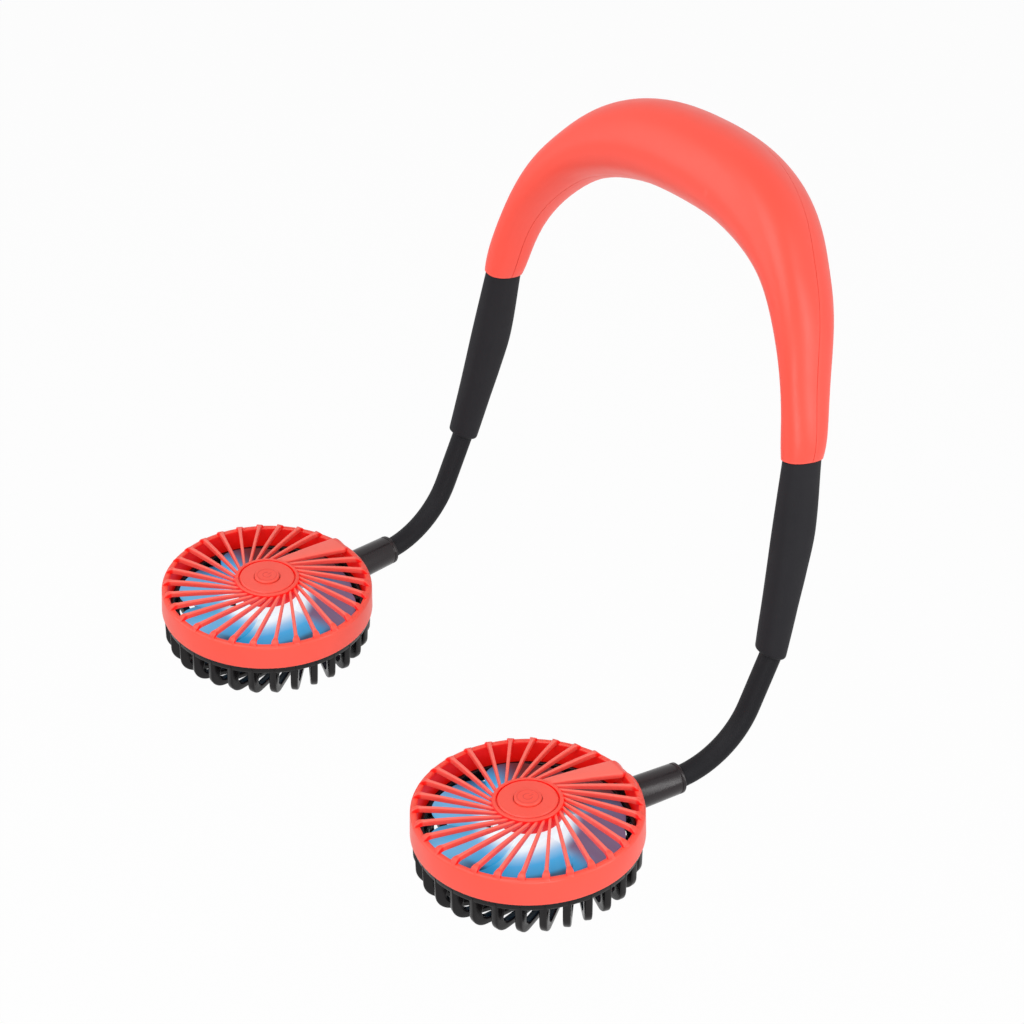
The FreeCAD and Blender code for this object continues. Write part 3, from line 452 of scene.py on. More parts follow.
@dataclass(frozen=True)
class PaintedLightSector:
    """A sector where the wheel's painted light takes another colour. Lengths are metres and the angle is in
    degrees.

    Its edge gives the cosines, and its reach the radii, between which the colour sets in.
    """

    colour: Colour
    angle: float
    edge: Point2
    reach: Point2

    def share(self, wiring: Wiring, heading: Socket, out: Socket) -> Socket:
        """The share of the sector's colour over the wheel.

        Args:
            wiring: The material's wiring.
            heading: The direction from the axis.
            out: The distance from the axis.

        Returns:
            The socket that carries the share.
        """
        turn = math.radians(self.angle)
        towards = (math.cos(turn), math.sin(turn), 0.0)
        facing = wiring.measure("DOT_PRODUCT", heading, towards)
        side = wiring.between(facing, self.edge, Ease.SOFT)
        return wiring.number("MULTIPLY", side, wiring.between(out, self.reach, Ease.SOFT))


@dataclass(frozen=True)
class PaintedGlowPlastic:
    """Milky blades with a painted glow for the hub lamps: white inside, blue outside, painted shade by the
    collar.

    Colours are linear and lengths are metres.
    """

    name: str = "impeller plastic with painted glow"
    # The painted glow of the hub's lamps, white at the hub and fading to deep blue at the blade tips.
    stops: tuple[tuple[float, Colour], ...] = (
        (0.0, (0.90, 0.95, 1.0)),
        (0.14, (0.84, 0.93, 1.0)),
        (0.33, (0.28, 0.57, 0.86)),
        (0.52, (0.040, 0.385, 0.74)),
        (0.78, (0.022, 0.27, 0.54)),
        (1.0, (0.008, 0.085, 0.17)),
    )
    # In order: painted shade of the rim near the tips, a painted reflection of the coral cage, painted
    # shade beside the collar and a bluer patch of painted glow.
    painted_sectors: tuple[PaintedLightSector, ...] = (
        PaintedLightSector((0.012, 0.060, 0.12), -31.0, (0.30, 0.80), (24.2 * MM, 27.0 * MM)),
        PaintedLightSector((0.165, 0.100, 0.19), 46.0, (0.78, 0.92), (12.5 * MM, 17.0 * MM)),
        PaintedLightSector((0.100, 0.024, 0.026), 124.0, (0.58, 0.88), (10.0 * MM, 12.0 * MM)),
        PaintedLightSector((0.115, 0.43, 0.72), 242.0, (0.60, 0.90), (13.0 * MM, 19.0 * MM)),
    )
    lit_width: Point2 = (10.0 * MM, 29.6 * MM)
    # Painted shade on the blades' lower side.
    trailing_shade: Colour = (0.010, 0.065, 0.13)
    trailing_height: Point2 = (2.4 * MM, -2.6 * MM)
    # Strength of the painted glow.
    glow: float = 0.86
    shade: float = 0.86
    roughness: float = 0.32
    spread: float = 0.1
    grain_scale: float = 1800.0
    grain_height: float = 0.00001

    @cache
    def material(self) -> bpy.types.Material:
        """The finish as a material, made once; it reads the piece's own frame.

        Returns:
            The Blender material.
        """
        made, wiring, skin = surface(self.name)
        skin["Emission Strength"].default_value = self.glow
        wiring.texture(
            skin, self.grain_height, Scale=self.grain_scale, Roughness=self.roughness, Spread=self.spread
        )
        place = wiring.node("TexCoord").outputs["Object"]
        flat = wiring.vector("MULTIPLY", place, ACROSS_AXIS)
        out = wiring.measure("LENGTH", flat)
        heading = wiring.vector("NORMALIZE", flat)
        ramp = wiring.fill(wiring.node("ValToRGB"), Fac=wiring.between(out, self.lit_width))
        for stop, tone in self.stops:
            self.stop_at(ramp, stop, tone)
        colour = ramp.outputs["Color"]
        for sector in self.painted_sectors:
            colour = wiring.blend(sector.share(wiring, heading, out), colour, sector.colour)
        # Painted shade: darker towards the blade's lower side.
        low = wiring.between(wiring.height(place), self.trailing_height)
        colour = wiring.blend(low, colour, self.trailing_shade)
        # The blades glow with painted light, over a darker copy of the same colour.
        wiring.feed(skin["Emission Color"], colour)
        wiring.feed(skin["Base Color"], wiring.blend(self.shade, colour, BLACK))
        return made

    @staticmethod
    def stop_at(ramp: bpy.types.Node, stop: float, colour: Colour) -> None:
        """Sets the colour of a ramp at a stop, with a new stop where there is none.

        Args:
            ramp: The ramp's node.
            stop: Place on the ramp, from 0 to 1.
            colour: Linear colour there.
        """
        elements = ramp.color_ramp.elements
        found = [element for element in elements if abs(element.position - stop) < SAME_STOP]
        element = found[0] if found else elements.new(stop)
        element.color = (*colour, 1.0)


# Each finish's edge colour is its painted highlight on proud edges.
CORAL = Finish(
    "coral moulding", light=(0.98, 0.092, 0.060), dark=(0.95, 0.080, 0.051), edge=(1.0, 0.17, 0.13),
    roughness=0.40, spread=0.10, specular=0.42, grain_height=0.000012,
)
# Coral with painted light: a highlight on the spokes, shade and a glow on upright inner faces.
CORAL_CAGE = PaintedLightMoulding(
    "coral cage moulding", light=CORAL.light, dark=CORAL.dark, edge=CORAL.edge, roughness=CORAL.roughness,
    spread=CORAL.spread, specular=CORAL.specular, grain_height=CORAL.grain_height,
)
CAGE_BLACK = Finish(
    "black cage moulding", light=(0.008, 0.0065, 0.0072), dark=(0.006, 0.005, 0.0055),
    edge=(0.026, 0.021, 0.023), roughness=0.26, specular=0.24,
)
COLLAR_BROWN = Finish(
    "brown-black collar", light=(0.0145, 0.0092, 0.011), dark=(0.010, 0.0066, 0.008),
    edge=(0.04, 0.029, 0.032), roughness=0.27, specular=0.34, grain_height=0.000008,
)
SLEEVE_RUBBER = Finish(
    "matt sleeve rubber", light=(0.0155, 0.0148, 0.0178), dark=(0.0115, 0.011, 0.0135),
    edge=(0.03, 0.0285, 0.033), roughness=0.66, grain_scale=3800.0, grain_height=0.00004, specular=0.2,
)
JACKET_RUBBER = Finish(
    "gooseneck jacket rubber", light=(0.0105, 0.0103, 0.0125), dark=(0.0075, 0.0073, 0.009),
    edge=(0.02, 0.0195, 0.022), roughness=0.58, grain_scale=3200.0, grain_height=0.00003, specular=0.16,
)
STEEL = Finish(
    "plain steel", light=(0.58, 0.58, 0.60), dark=(0.50, 0.50, 0.52), edge=(0.75, 0.75, 0.76),
    roughness=0.3, metallic=1.0, drift_scale=400.0,
)
BRASS = Finish(
    "turned brass", light=(0.75, 0.53, 0.22), dark=(0.66, 0.45, 0.18), edge=(0.86, 0.66, 0.34),
    roughness=0.28, metallic=1.0, drift_scale=400.0,
)
BOARD_GREEN = Finish(
    "solder-masked board", light=(0.022, 0.17, 0.06), dark=(0.016, 0.13, 0.045), edge=(0.25, 0.3, 0.12),
    roughness=0.4, coat=0.3,
)
SWITCH_BLACK = Finish(
    "switch case", light=(0.03, 0.03, 0.03), dark=(0.022, 0.022, 0.022), edge=(0.07, 0.07, 0.07),
    roughness=0.5,
)
LAMP_CLEAR = Finish(
    "lamp resin", light=(0.86, 0.91, 1.0), dark=(0.80, 0.86, 0.97), edge=(1.0, 1.0, 1.0),
    roughness=0.2, coat=0.5,
)
CELL_WRAP = Finish(
    "cell wrap", light=(0.10, 0.26, 0.60), dark=(0.08, 0.22, 0.52), edge=(0.25, 0.4, 0.7), roughness=0.35,
)
# Painted shade: a darker coral that stands for the shade in the moulded power symbol's relief.
MARK_RED = Finish(
    "power mark with painted shade", light=(0.82, 0.060, 0.042), dark=(0.78, 0.054, 0.038), edge=(0.86, 0.07, 0.05),
    roughness=0.5,
)
PAINTED_GLOW_PLASTIC = PaintedGlowPlastic()


# Outlines


def rounded(corners: Sequence[Point2], radii: Rounds, steps: int = ARC_STEPS) -> list[Point2]:
    """A closed outline with an arc at each corner.

    Args:
        corners: Corners in order.
        radii: Radius of the arc at each corner; zero leaves it sharp.
        steps: Segments of each arc.

    Returns:
        The points of the outline.
    """
    points: list[Point2] = []
    for index, (corner, radius) in enumerate(zip(corners, radii)):
        here = Vector(corner)
        if radius <= 0:
            points.append(tuple(here))
            continue
        before = Vector(corners[index - 1]) - here
        after = Vector(corners[(index + 1) % len(corners)]) - here
        half = before.angle(after) / 2
        cut = min(radius / math.tan(half), MOST_OF_SIDE * before.length, MOST_OF_SIDE * after.length)
        middle = here + (before.normalized() + after.normalized()).normalized() * cut / math.cos(half)
        first = here + before.normalized() * cut - middle
        last = here + after.normalized() * cut - middle
        turn = first.angle_signed(last)
        for step in range(steps + 1):
            points.append(tuple(middle + Matrix.Rotation(-turn * step / steps, 2) @ first))
    return points


def arc(radius: float, first: float, last: float, steps: int) -> list[Point2]:
    """Points along an arc about the origin.

    Args:
        radius: Radius of the arc.
        first: Angle of its first point, in radians.
        last: Angle of its last point.
        steps: Number of segments.

    Returns:
        The points.
    """
    turns = [first + (last - first) * step / steps for step in range(steps + 1)]
    return [(radius * math.cos(turn), radius * math.sin(turn)) for turn in turns]


def circle(radius: float, steps: int, centre: Point2 = (0.0, 0.0)) -> list[Point2]:
    """Points round a circle, anticlockwise."""
    whole = arc(radius, 0.0, 2 * math.pi, steps)[:-1]
    return [(centre[0] + across, centre[1] + along) for across, along in whole]


def superellipse(half_width: float, half_height: float, squareness: float, steps: int) -> list[Point2]:
    """Points round an oval that is squarer where its squareness is above 2.

    Args:
        half_width: Half of its width.
        half_height: Half of its height.
        squareness: Exponent of the oval; 2 is an ellipse.
        steps: Number of points.

    Returns:
        The points, anticlockwise.
    """
    power = 2 / squareness
    points = []
    for across, along in circle(1.0, steps):
        points.append((math.copysign(abs(across) ** power, across) * half_width,
                       math.copysign(abs(along) ** power, along) * half_height))
    return points


def eased(knots: Sequence[float], values: Sequence[float], place: float) -> float:
    """A smooth reading between values at knots.

    Args:
        knots: Places of the values, rising.
        values: One value for each knot.
        place: Where to read.

    Returns:
        The value there.
    """
    index = max(0, min(len(knots) - 2, sum(knot <= place for knot in knots) - 1))
    slopes = []
    for middle in (index, index + 1):
        before, after = max(0, middle - 1), min(len(knots) - 1, middle + 1)
        slopes.append((values[after] - values[before]) / (knots[after] - knots[before]))
    span = knots[index + 1] - knots[index]
    share = (place - knots[index]) / span
    rest = 1 - share
    return (
        values[index] * rest ** 2 * (1 + 2 * share) + values[index + 1] * share ** 2 * (1 + 2 * rest)
        + span * share * rest * (slopes[0] * rest - slopes[1] * share)
    )


# Meshes, in metres


def turned(corners: Sequence[Point2], radii: Rounds, steps: int, arc_steps: int = ARC_STEPS) -> Mesh:
    """A closed profile of radius and height, in millimetres and with round corners, turned about Z.

    Args:
        corners: Corners of the profile; those on the axis are merged.
        radii: Radius of the arc at each corner.
        steps: Segments of a full turn.
        arc_steps: Segments of each corner's arc.

    Returns:
        The turned mesh.
    """
    profile = [(out * MM, up * MM) for out, up in rounded(corners, radii, arc_steps)]
    mesh = bmesh.new()
    rings = []
    for across, along in circle(1.0, steps):
        rings.append([mesh.verts.new((out * across, out * along, up)) for out, up in profile])
    for step, ring in enumerate(rings):
        other = rings[(step + 1) % steps]
        for index in range(len(profile)):
            following = (index + 1) % len(profile)
            if max(profile[index][0], profile[following][0]) < ON_AXIS:
                continue
            mesh.faces.new((ring[index], other[index], other[following], ring[following]))
    bmesh.ops.remove_doubles(mesh, verts=mesh.verts, dist=SAME_PLACE)
    bmesh.ops.recalc_face_normals(mesh, faces=mesh.faces)
    return mesh


def loft(rings: Sequence[Ring]) -> Mesh:
    """A skin over closed rings of points, with flat ends.

    Args:
        rings: Rings in metres, with the same number of points each.

    Returns:
        The lofted mesh.
    """
    mesh = bmesh.new()
    made = [[mesh.verts.new(point) for point in ring] for ring in rings]
    count = len(made[0])
    for first, second in zip(made, made[1:]):
        for index in range(count):
            following = (index + 1) % count
            mesh.faces.new((first[index], first[following], second[following], second[index]))
    mesh.faces.new(list(reversed(made[0])))
    mesh.faces.new(made[-1])
    bmesh.ops.recalc_face_normals(mesh, faces=mesh.faces)
    return mesh


def plate(
    outline: Sequence[Point2], holes: Iterable[Sequence[Point2]], depth: float, edge: float,
    top: float = 0.0,
) -> Mesh:
    """A flat plate with holes and rounded edges, from sizes in millimetres.

    Args:
        outline: Outer outline, anticlockwise.
        holes: Outlines of the holes, anticlockwise.
        depth: Thickness of the plate.
        edge: Radius of its rounded edges.
        top: Height of its upper face.

    Returns:
        The plate's mesh.
    """
    curve = bpy.data.curves.new("plate outline", "CURVE")
    curve.dimensions = "2D"
    curve.fill_mode = "BOTH"
    curve.extrude = (depth / 2 - edge) * MM
    curve.bevel_depth = edge * MM
    curve.bevel_resolution = PLATE_EDGE_STEPS
    curve.offset = -edge * MM
    for points in [list(outline)] + [list(reversed(hole)) for hole in holes]:
        spline = curve.splines.new("POLY")
        spline.points.add(len(points) - 1)
        spline.use_cyclic_u = True
        for knot, (across, along) in zip(spline.points, points):
            knot.co = (across * MM, along * MM, 0.0, 1.0)
    holder = bpy.data.objects.new("plate outline", curve)
    made = bpy.data.meshes.new_from_object(holder)
    mesh = bmesh.new()
    mesh.from_mesh(made)
    bmesh.ops.remove_doubles(mesh, verts=mesh.verts, dist=SAME_PLACE)
    bmesh.ops.translate(mesh, verts=mesh.verts, vec=(0.0, 0.0, (top - depth / 2) * MM))
    bmesh.ops.recalc_face_normals(mesh, faces=mesh.faces)
    bpy.data.objects.remove(holder)
    bpy.data.curves.remove(curve)
    bpy.data.meshes.remove(made)
    return mesh


def merge(parts: Iterable[Mesh]) -> Mesh:
    """Several meshes as one; the parts are freed.

    Args:
        parts: The meshes.

    Returns:
        The joined mesh.
    """
    whole = bmesh.new()
    for part in parts:
        holder = bpy.data.meshes.new("part")
        part.to_mesh(holder)
        whole.from_mesh(holder)
        bpy.data.meshes.remove(holder)
        part.free()
    return whole


def reshape(mesh: Mesh, move: Callable[[Vector], Vector]) -> Mesh:
    """Moves every point of a mesh by a rule.

    Args:
        mesh: The mesh.
        move: Gives a point's new place.

    Returns:
        The same mesh.
    """
    for vert in mesh.verts:
        vert.co = move(vert.co)
    bmesh.ops.recalc_face_normals(mesh, faces=mesh.faces)
    return mesh


def spun(mesh: Mesh, angle: float) -> Mesh:
    """Turns a mesh about Z.

    Args:
        mesh: The mesh.
        angle: The angle in degrees.

    Returns:
        The same mesh.
    """
    turn = Matrix.Rotation(math.radians(angle), 3, "Z")
    bmesh.ops.rotate(mesh, verts=mesh.verts, cent=(0.0, 0.0, 0.0), matrix=turn)
    return mesh


# Pieces and the frame


def piece(name: str, mesh: Mesh, finish: Finish | PaintedGlowPlastic, shading: Shading) -> bpy.types.Object:
    """A new object in the scene with its finish and shading.

    Args:
        name: Name of the piece.
        mesh: Its mesh, which is freed.
        finish: Its finish.
        shading: Angle up to which faces are shaded as one.

    Returns:
        The object.
    """
    data = bpy.data.meshes.new(name)
    mesh.to_mesh(data)
    mesh.free()
    data.materials.append(finish.material())
    data.shade_smooth()
    data.set_sharp_from_angle(angle=math.radians(shading.value))
    made = bpy.data.objects.new(name, data)
    bpy.context.scene.collection.objects.link(made)
    LOG.info("piece %s: %d faces", name, len(data.polygons))
    return made


def dress_node(name: str, finish: Finish) -> None:
    """Gives a node of the frame its finish.

    Args:
        name: The node.
        finish: Its finish.
    """
    node = frame["nodes"][name]
    node.data.materials.clear()
    node.data.materials.append(finish.material())
    LOG.info("node %s: %s", name, finish.name)


def joint(name: str) -> dict:
    """The frame's joint of that name."""
    return next(entry for entry in frame["joints"] if entry["name"] == name)


def head_matrix(side: Side) -> Matrix:
    """A fan head's own frame: the fan's axis is Z and the collar runs along +Y.

    Args:
        side: The head's side.

    Returns:
        The matrix from the head's frame to the row frame.
    """
    spin, bend = joint(f"{side.value}_fan_spin"), joint(f"{side.value}_bend_1")
    up = Vector(spin["axis"]).normalized()
    across = -Vector(bend["axis"])
    across = (across - up * across.dot(up)).normalized()
    turn = Matrix((across, up.cross(across), up)).transposed()
    return Matrix.Translation(spin["pos_m"]) @ turn.to_4x4()


# Sub-assemblies


@dataclass
class Band:
    """The hollow neck band: its two shells and what is inside and behind it."""

    finishes: dict[str, Finish] = field(default_factory=lambda: {
        "band_front_shell": CORAL,
        "band_rear_shell": CORAL,
        "battery_left": CELL_WRAP,
        "battery_right": CELL_WRAP,
        "control_board": BOARD_GREEN,
        "usb_socket": STEEL,
        "charge_light": LAMP_CLEAR,
    })

    def dress(self) -> None:
        """Gives every node of the band its finish."""
        for name, finish in self.finishes.items():
            dress_node(name, finish)


@dataclass(frozen=True)
class BootProfile:
    """The boot's sections at shares of its length, from its foot to the band. Lengths are millimetres."""

    shares: tuple[float, ...] = (0.0, 0.25, 0.42, 0.64, 1.0)
    half_thickness: tuple[float, ...] = (5.05, 5.0, 4.95, 4.85, 4.2)
    half_depth: tuple[float, ...] = (5.05, 5.8, 6.45, 7.1, 6.5)
    setback: tuple[float, ...] = (0.0, 0.75, 1.2, 1.4, 0.0)
    squareness: tuple[float, ...] = (2.0, 2.25, 2.45, 2.6, 2.4)

    def at(self, share: float) -> list[float]:
        """Half thickness, half depth, setback and squareness at a share of the boot's length."""
        rows = (self.half_thickness, self.half_depth, self.setback, self.squareness)
        return [eased(self.shares, row, share) for row in rows]


@dataclass
class Arm:
    """One arm: the rubber boot below the band and the jacketed gooseneck under it.

    Lengths are millimetres and angles are degrees, apart from the gooseneck's arc, which is read from
    the frame: its radius, reach and drop are metres and its bend is in radians.
    """

    side: Side
    band_half_width: float = 74.6
    band_end_along: Point3 = (-0.1592, 0.1771, 0.9712)
    profile: BootProfile = BootProfile()
    boot_length: float = 64.5
    boot_splay: float = 5.6
    boot_lean: float = 12.25
    boot_gap: float = 0.3
    boot_turn_share: float = 0.25
    spigot_inset: float = 1.3
    spigot_length: float = 4.0
    rim_round: float = 1.4
    rim_steps: int = 5
    boot_steps: int = 44
    section_steps: int = 56
    jacket_radius: float = 3.5
    jacket_steps: int = 28
    joint_steps: int = 14
    collar_overlap: float = 1.3
    boot_overlap: float = 22.5
    joints: tuple[str, ...] = ("bend_1", "swing_1", "bend_2", "swing_2", "bend_3")
    head: Matrix = field(init=False)
    reach: float = field(init=False)
    drop: float = field(init=False)
    bend: float = field(init=False)
    radius: float = field(init=False)

    def __post_init__(self) -> None:
        """Reads the gooseneck's arc from the joints at its two ends."""
        self.head = head_matrix(self.side)
        ends = [Vector(self.joint_at(index)["pos_m"]) for index in (self.link_count, 0)]
        start, stop = (self.head.inverted() @ end for end in ends)
        self.reach, self.drop = start.y, -start.z
        self.bend = 2 * math.atan2(stop.z - start.z, stop.y - start.y)
        self.radius = (stop.y - start.y) / math.sin(self.bend)

    @property
    def link_count(self) -> int:
        """Number of loose links, one less than the joints."""
        return len(self.joints) - 1

    def joint_at(self, index: int) -> dict:
        """The arm's joint of that number, counted from the band."""
        return joint(f"{self.side.value}_{self.joints[index]}")

    def build(self) -> None:
        """Makes the boot and the jacket's lengths, one across each bending joint."""
        self.boot()
        for index in range(len(self.joints)):
            self.jacket(index)

    def boot_stations(self) -> list[Point2]:
        """Where the boot's sections are, as shares of its length, and how far each is drawn in.

        Returns:
            The stations, from the round rim at the foot to the spigot's end.
        """
        stations: list[Point2] = []
        for step in range(self.rim_steps, -1, -1):
            turn = math.pi / 2 * step / self.rim_steps
            share = self.rim_round * (1 - math.sin(turn)) / self.boot_length
            stations.append((share, self.rim_round * (1 - math.cos(turn))))
        first = stations[-1][0]
        for step in range(1, self.boot_steps + 1):
            stations.append((first + (1 - first) * step / self.boot_steps, 0.0))
        spigot_end = 1.0 + self.spigot_length / self.boot_length
        return stations + [(1.0, self.spigot_inset), (spigot_end, self.spigot_inset)]

    def boot(self) -> None:
        """The swelling rubber boot, with a round rim at its foot and a spigot up into the band."""
        sign = self.side.sign
        splay, lean = (math.tan(math.radians(angle)) for angle in (self.boot_splay, self.boot_lean))
        top = Vector((sign * self.band_half_width, 0.0, 0.0))
        foot = top + Vector((sign * splay, -lean, -1.0)).normalized() * self.boot_length
        band_along = Vector((sign * self.band_end_along[0], *self.band_end_along[1:]))
        crown = top - band_along * self.boot_gap
        outlet = Vector((0.0, math.cos(self.bend), math.sin(self.bend)))
        outlet = (self.head.to_3x3() @ outlet).normalized()
        backward = Vector((0.0, 1.0, 0.0))
        rings = []
        for share, inset in self.boot_stations():
            half_thickness, half_depth, setback, squareness = self.profile.at(min(share, 1.0))
            along = outlet.lerp(band_along, min(1.0, share / self.boot_turn_share)).normalized()
            deep = (backward - along * along.dot(backward)).normalized()
            out = deep.cross(along)
            centre = foot.lerp(crown, share) + deep * setback
            oval = superellipse(half_thickness - inset, half_depth - inset, squareness, self.section_steps)
            rings.append([(centre + out * across + deep * back) * MM for across, back in oval])
        made = piece(f"boot_{self.side.value}", loft(rings), SLEEVE_RUBBER, Shading.ROUND)
        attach(made, "band")
        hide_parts(f"arm_sleeve_{self.side.value}")

    def path(self, length: float) -> tuple[Vector, Vector]:
        """A place along the gooseneck and its direction there, in the head's frame.

        Args:
            length: Distance in metres from the joint at the collar, towards the band.

        Returns:
            The point and the unit direction.
        """
        turn = min(max(length / self.radius, 0.0), self.bend)
        along = Vector((0.0, math.cos(turn), math.sin(turn)))
        point = Vector((0.0, self.reach + self.radius * math.sin(turn),
                        self.radius * (1 - math.cos(turn)) - self.drop))
        return point + along * (length - turn * self.radius), along

    def jacket(self, index: int) -> None:
        """One length of the rubber jacket, over one joint.

        Args:
            index: Number of the joint, counted from the band.
        """
        whole = self.radius * self.bend
        half = whole / self.link_count / 2
        middle = whole * (1 - index / self.link_count)
        near = -self.collar_overlap * MM if index == self.link_count else middle - half
        far = middle + self.boot_overlap * MM if index == 0 else middle + half
        sideways = Vector((1.0, 0.0, 0.0))
        section = circle(self.jacket_radius * MM, self.jacket_steps)
        rings = []
        for step in range(self.joint_steps + 1):
            point, along = self.path(near + (far - near) * step / self.joint_steps)
            upward = Vector((0.0, -along.z, along.y))
            rings.append([point + sideways * across + upward * up for across, up in section])
        made = piece(f"jacket_{index + 1}_{self.side.value}", loft(rings), JACKET_RUBBER, Shading.ROUND)
        made.data.transform(self.head)
        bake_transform(made)
        stem = "gooseneck_root" if index == 0 else f"gooseneck_link_{self.link_count + 1 - index}"
        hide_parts(f"{stem}_{self.side.value}")


@dataclass
class Boss:
    """Half of the round boss that clamps the collar in the cage's wall. Lengths are millimetres."""

    upper: bool
    drop: float = 0.9
    radius: float = 7.4
    bore: float = 5.45
    seat: float = 32.5
    reach: float = 37.2
    edge: float = 0.45
    steps: int = 32

    def mesh(self) -> Mesh:
        """The half boss.

        Returns:
            The mesh, in metres.
        """
        outline = self.half_circle(self.radius) + self.half_circle(self.bore)[::-1]
        if not self.upper:
            outline.reverse()
        block = plate(outline, [], self.reach - self.seat, self.edge)
        return reshape(block, lambda point: Vector((point.x, self.reach * MM + point.z, point.y)))

    def half_circle(self, radius: float) -> list[Point2]:
        """A half circle about the collar's axis, above or below the cage's parting plane.

        Args:
            radius: Radius of the half circle.

        Returns:
            Its points, from +X to -X.
        """
        first = math.asin(self.drop / radius)
        last = math.pi - first if self.upper else -math.pi - first
        return [(across, up - self.drop) for across, up in arc(radius, first, last, self.steps)]


@dataclass
class FrontCage:
    """The coral front cage in the head's frame: rim, swirled spokes, one wide arm, hub and boss.

    Lengths are millimetres and angles are degrees.
    """

    rim_radius: float = 35.4
    rim_draft: float = 0.25
    rim_inner_foot: float = 32.7
    rim_inner_top: float = 33.0
    rim_foot: float = 0.5
    rim_edge_height: float = 9.2
    rim_rounds: Rounds = (0.35, 1.4, 0.8, 0.2)
    rim_arc_steps: int = 6
    rim_steps: int = 192
    hub_radius: float = 10.8
    hub_top: float = 12.25
    hub_foot: float = 7.2
    hub_pocket_radius: float = 9.55
    hub_ledge_radius: float = 8.35
    hub_ledge_top: float = 10.9
    hub_rounds: Rounds = (0.3, 0.55, 0.25, 0.0, 0.2, 0.0)
    hub_steps: int = 96
    floor_top: float = 8.2
    floor_overlap: float = 0.1
    floor_edge: float = 0.05
    floor_steps: int = 72
    lamp_hole_radius: float = 1.35
    lamp_hole_steps: int = 24
    lamp_circle_radius: float = 6.4
    lamp_count: int = 3
    dome_start: float = 11.65
    dome_radius: float = 32.9
    dome_edge: float = 10.8
    dome_sag: float = 0.3
    shoulder_centre: Point2 = (31.0, 7.168)
    shoulder_radius: float = 4.1
    spoke_count: int = 30
    spoke_start: float = 86.0
    spoke_offset: float = 7.0
    spoke_width: float = 0.88
    spoke_growth: float = 0.27
    spoke_flare: float = 1.2
    spoke_flare_start: float = 31.0
    spoke_flare_end: float = 33.6
    spoke_foot_hub: float = 10.5
    spoke_foot_rim: float = 8.95
    spoke_foot_round: float = 0.2
    spoke_least_depth: float = 0.4
    spoke_sink: float = 0.6
    spoke_reach: float = 34.95
    spoke_crown: float = 0.4
    spoke_steps: int = 26
    spoke_crowding: float = 1.8
    wide_crown: float = 1.0
    wide_reach: float = 34.7
    wide_round: float = 2.6
    wide_round_start: float = 31.2
    boss: Boss = field(default_factory=lambda: Boss(upper=True))

    def mesh(self) -> Mesh:
        """The whole cage.

        Returns:
            The cage's mesh, in metres.
        """
        pitch = WHOLE_TURN / self.spoke_count
        parts = [self.rim(), self.hub(), self.hub_floor(), self.boss.mesh()]
        for index in range(1, self.spoke_count - 1):
            angle = self.spoke_start + pitch * index
            parts.append(self.spoke(angle, self.spoke_half_width, self.spoke_reach, self.spoke_crown))
        angle = self.spoke_start - pitch / 2
        parts.append(self.spoke(angle, self.wide_half_width, self.wide_reach, self.wide_crown))
        return merge(parts)

    def rim(self) -> Mesh:
        """The rim, low between the spokes, with a round shoulder.

        Returns:
            The rim's mesh.
        """
        corners = [
            (self.rim_radius, self.rim_foot), (self.rim_radius - self.rim_draft, self.rim_edge_height),
            (self.rim_inner_top, self.rim_edge_height), (self.rim_inner_foot, self.rim_foot),
        ]
        return turned(corners, self.rim_rounds, self.rim_steps, self.rim_arc_steps)

    def hub(self) -> Mesh:
        """The hub's skirt and the ledge that carries its cap.

        Returns:
            The hub's mesh.
        """
        corners = [
            (self.hub_radius, self.hub_foot), (self.hub_radius, self.hub_top),
            (self.hub_pocket_radius, self.hub_top), (self.hub_pocket_radius, self.hub_ledge_top),
            (self.hub_ledge_radius, self.hub_ledge_top), (self.hub_ledge_radius, self.hub_foot),
        ]
        return turned(corners, self.hub_rounds, self.hub_steps)

    def hub_floor(self) -> Mesh:
        """The hub's floor, with a hole over each lamp.

        Returns:
            The floor's mesh.
        """
        lamps = circle(self.lamp_circle_radius, self.lamp_count)
        holes = [circle(self.lamp_hole_radius, self.lamp_hole_steps, lamp) for lamp in lamps]
        outline = circle(self.hub_ledge_radius + self.floor_overlap, self.floor_steps)
        return plate(outline, holes, self.floor_top - self.hub_foot, self.floor_edge, self.floor_top)

    def dome(self, radius: float) -> float:
        """The height of a spoke's back at a distance from the axis: a flat dome, then a round shoulder.

        Args:
            radius: Distance from the axis.

        Returns:
            The height there.
        """
        if radius <= self.dome_radius:
            share = (radius - self.hub_radius) / (self.dome_radius - self.hub_radius)
            slope = self.dome_start + (self.dome_edge - self.dome_start) * share
            return slope + 4 * self.dome_sag * share * (1 - share)
        across, up = self.shoulder_centre
        return up + math.sqrt(self.shoulder_radius ** 2 - (radius - across) ** 2)

    def spoke_half_width(self, radius: float) -> float:
        """Half of a spoke's width at a distance from the axis, wider where it meets the rim.

        Args:
            radius: Distance from the axis.

        Returns:
            Half of the width there.
        """
        share = (radius - self.spoke_flare_start) / (self.spoke_flare_end - self.spoke_flare_start)
        outward = (radius - self.hub_radius) / (self.spoke_flare_start - self.hub_radius)
        flare = self.spoke_flare * min(1.0, max(0.0, share)) ** 2
        return (self.spoke_width + self.spoke_growth * min(1.0, max(0.0, outward)) + flare) / 2

    def wide_half_width(self, radius: float) -> float:
        """Half of the wide arm's width at a distance from the axis.

        It fills one window and its two spokes, and its outer corners are round.

        Args:
            radius: Distance from the axis.

        Returns:
            Half of the width there.
        """
        slant = math.sqrt(1 - (self.spoke_offset / radius) ** 2)
        window = radius * math.sin(math.pi / self.spoke_count) * slant
        share = max(0.0, radius - self.wide_round_start) / (self.wide_reach - self.wide_round_start)
        return window + (self.spoke_width + self.spoke_growth) / 2 - self.wide_round * share ** 3

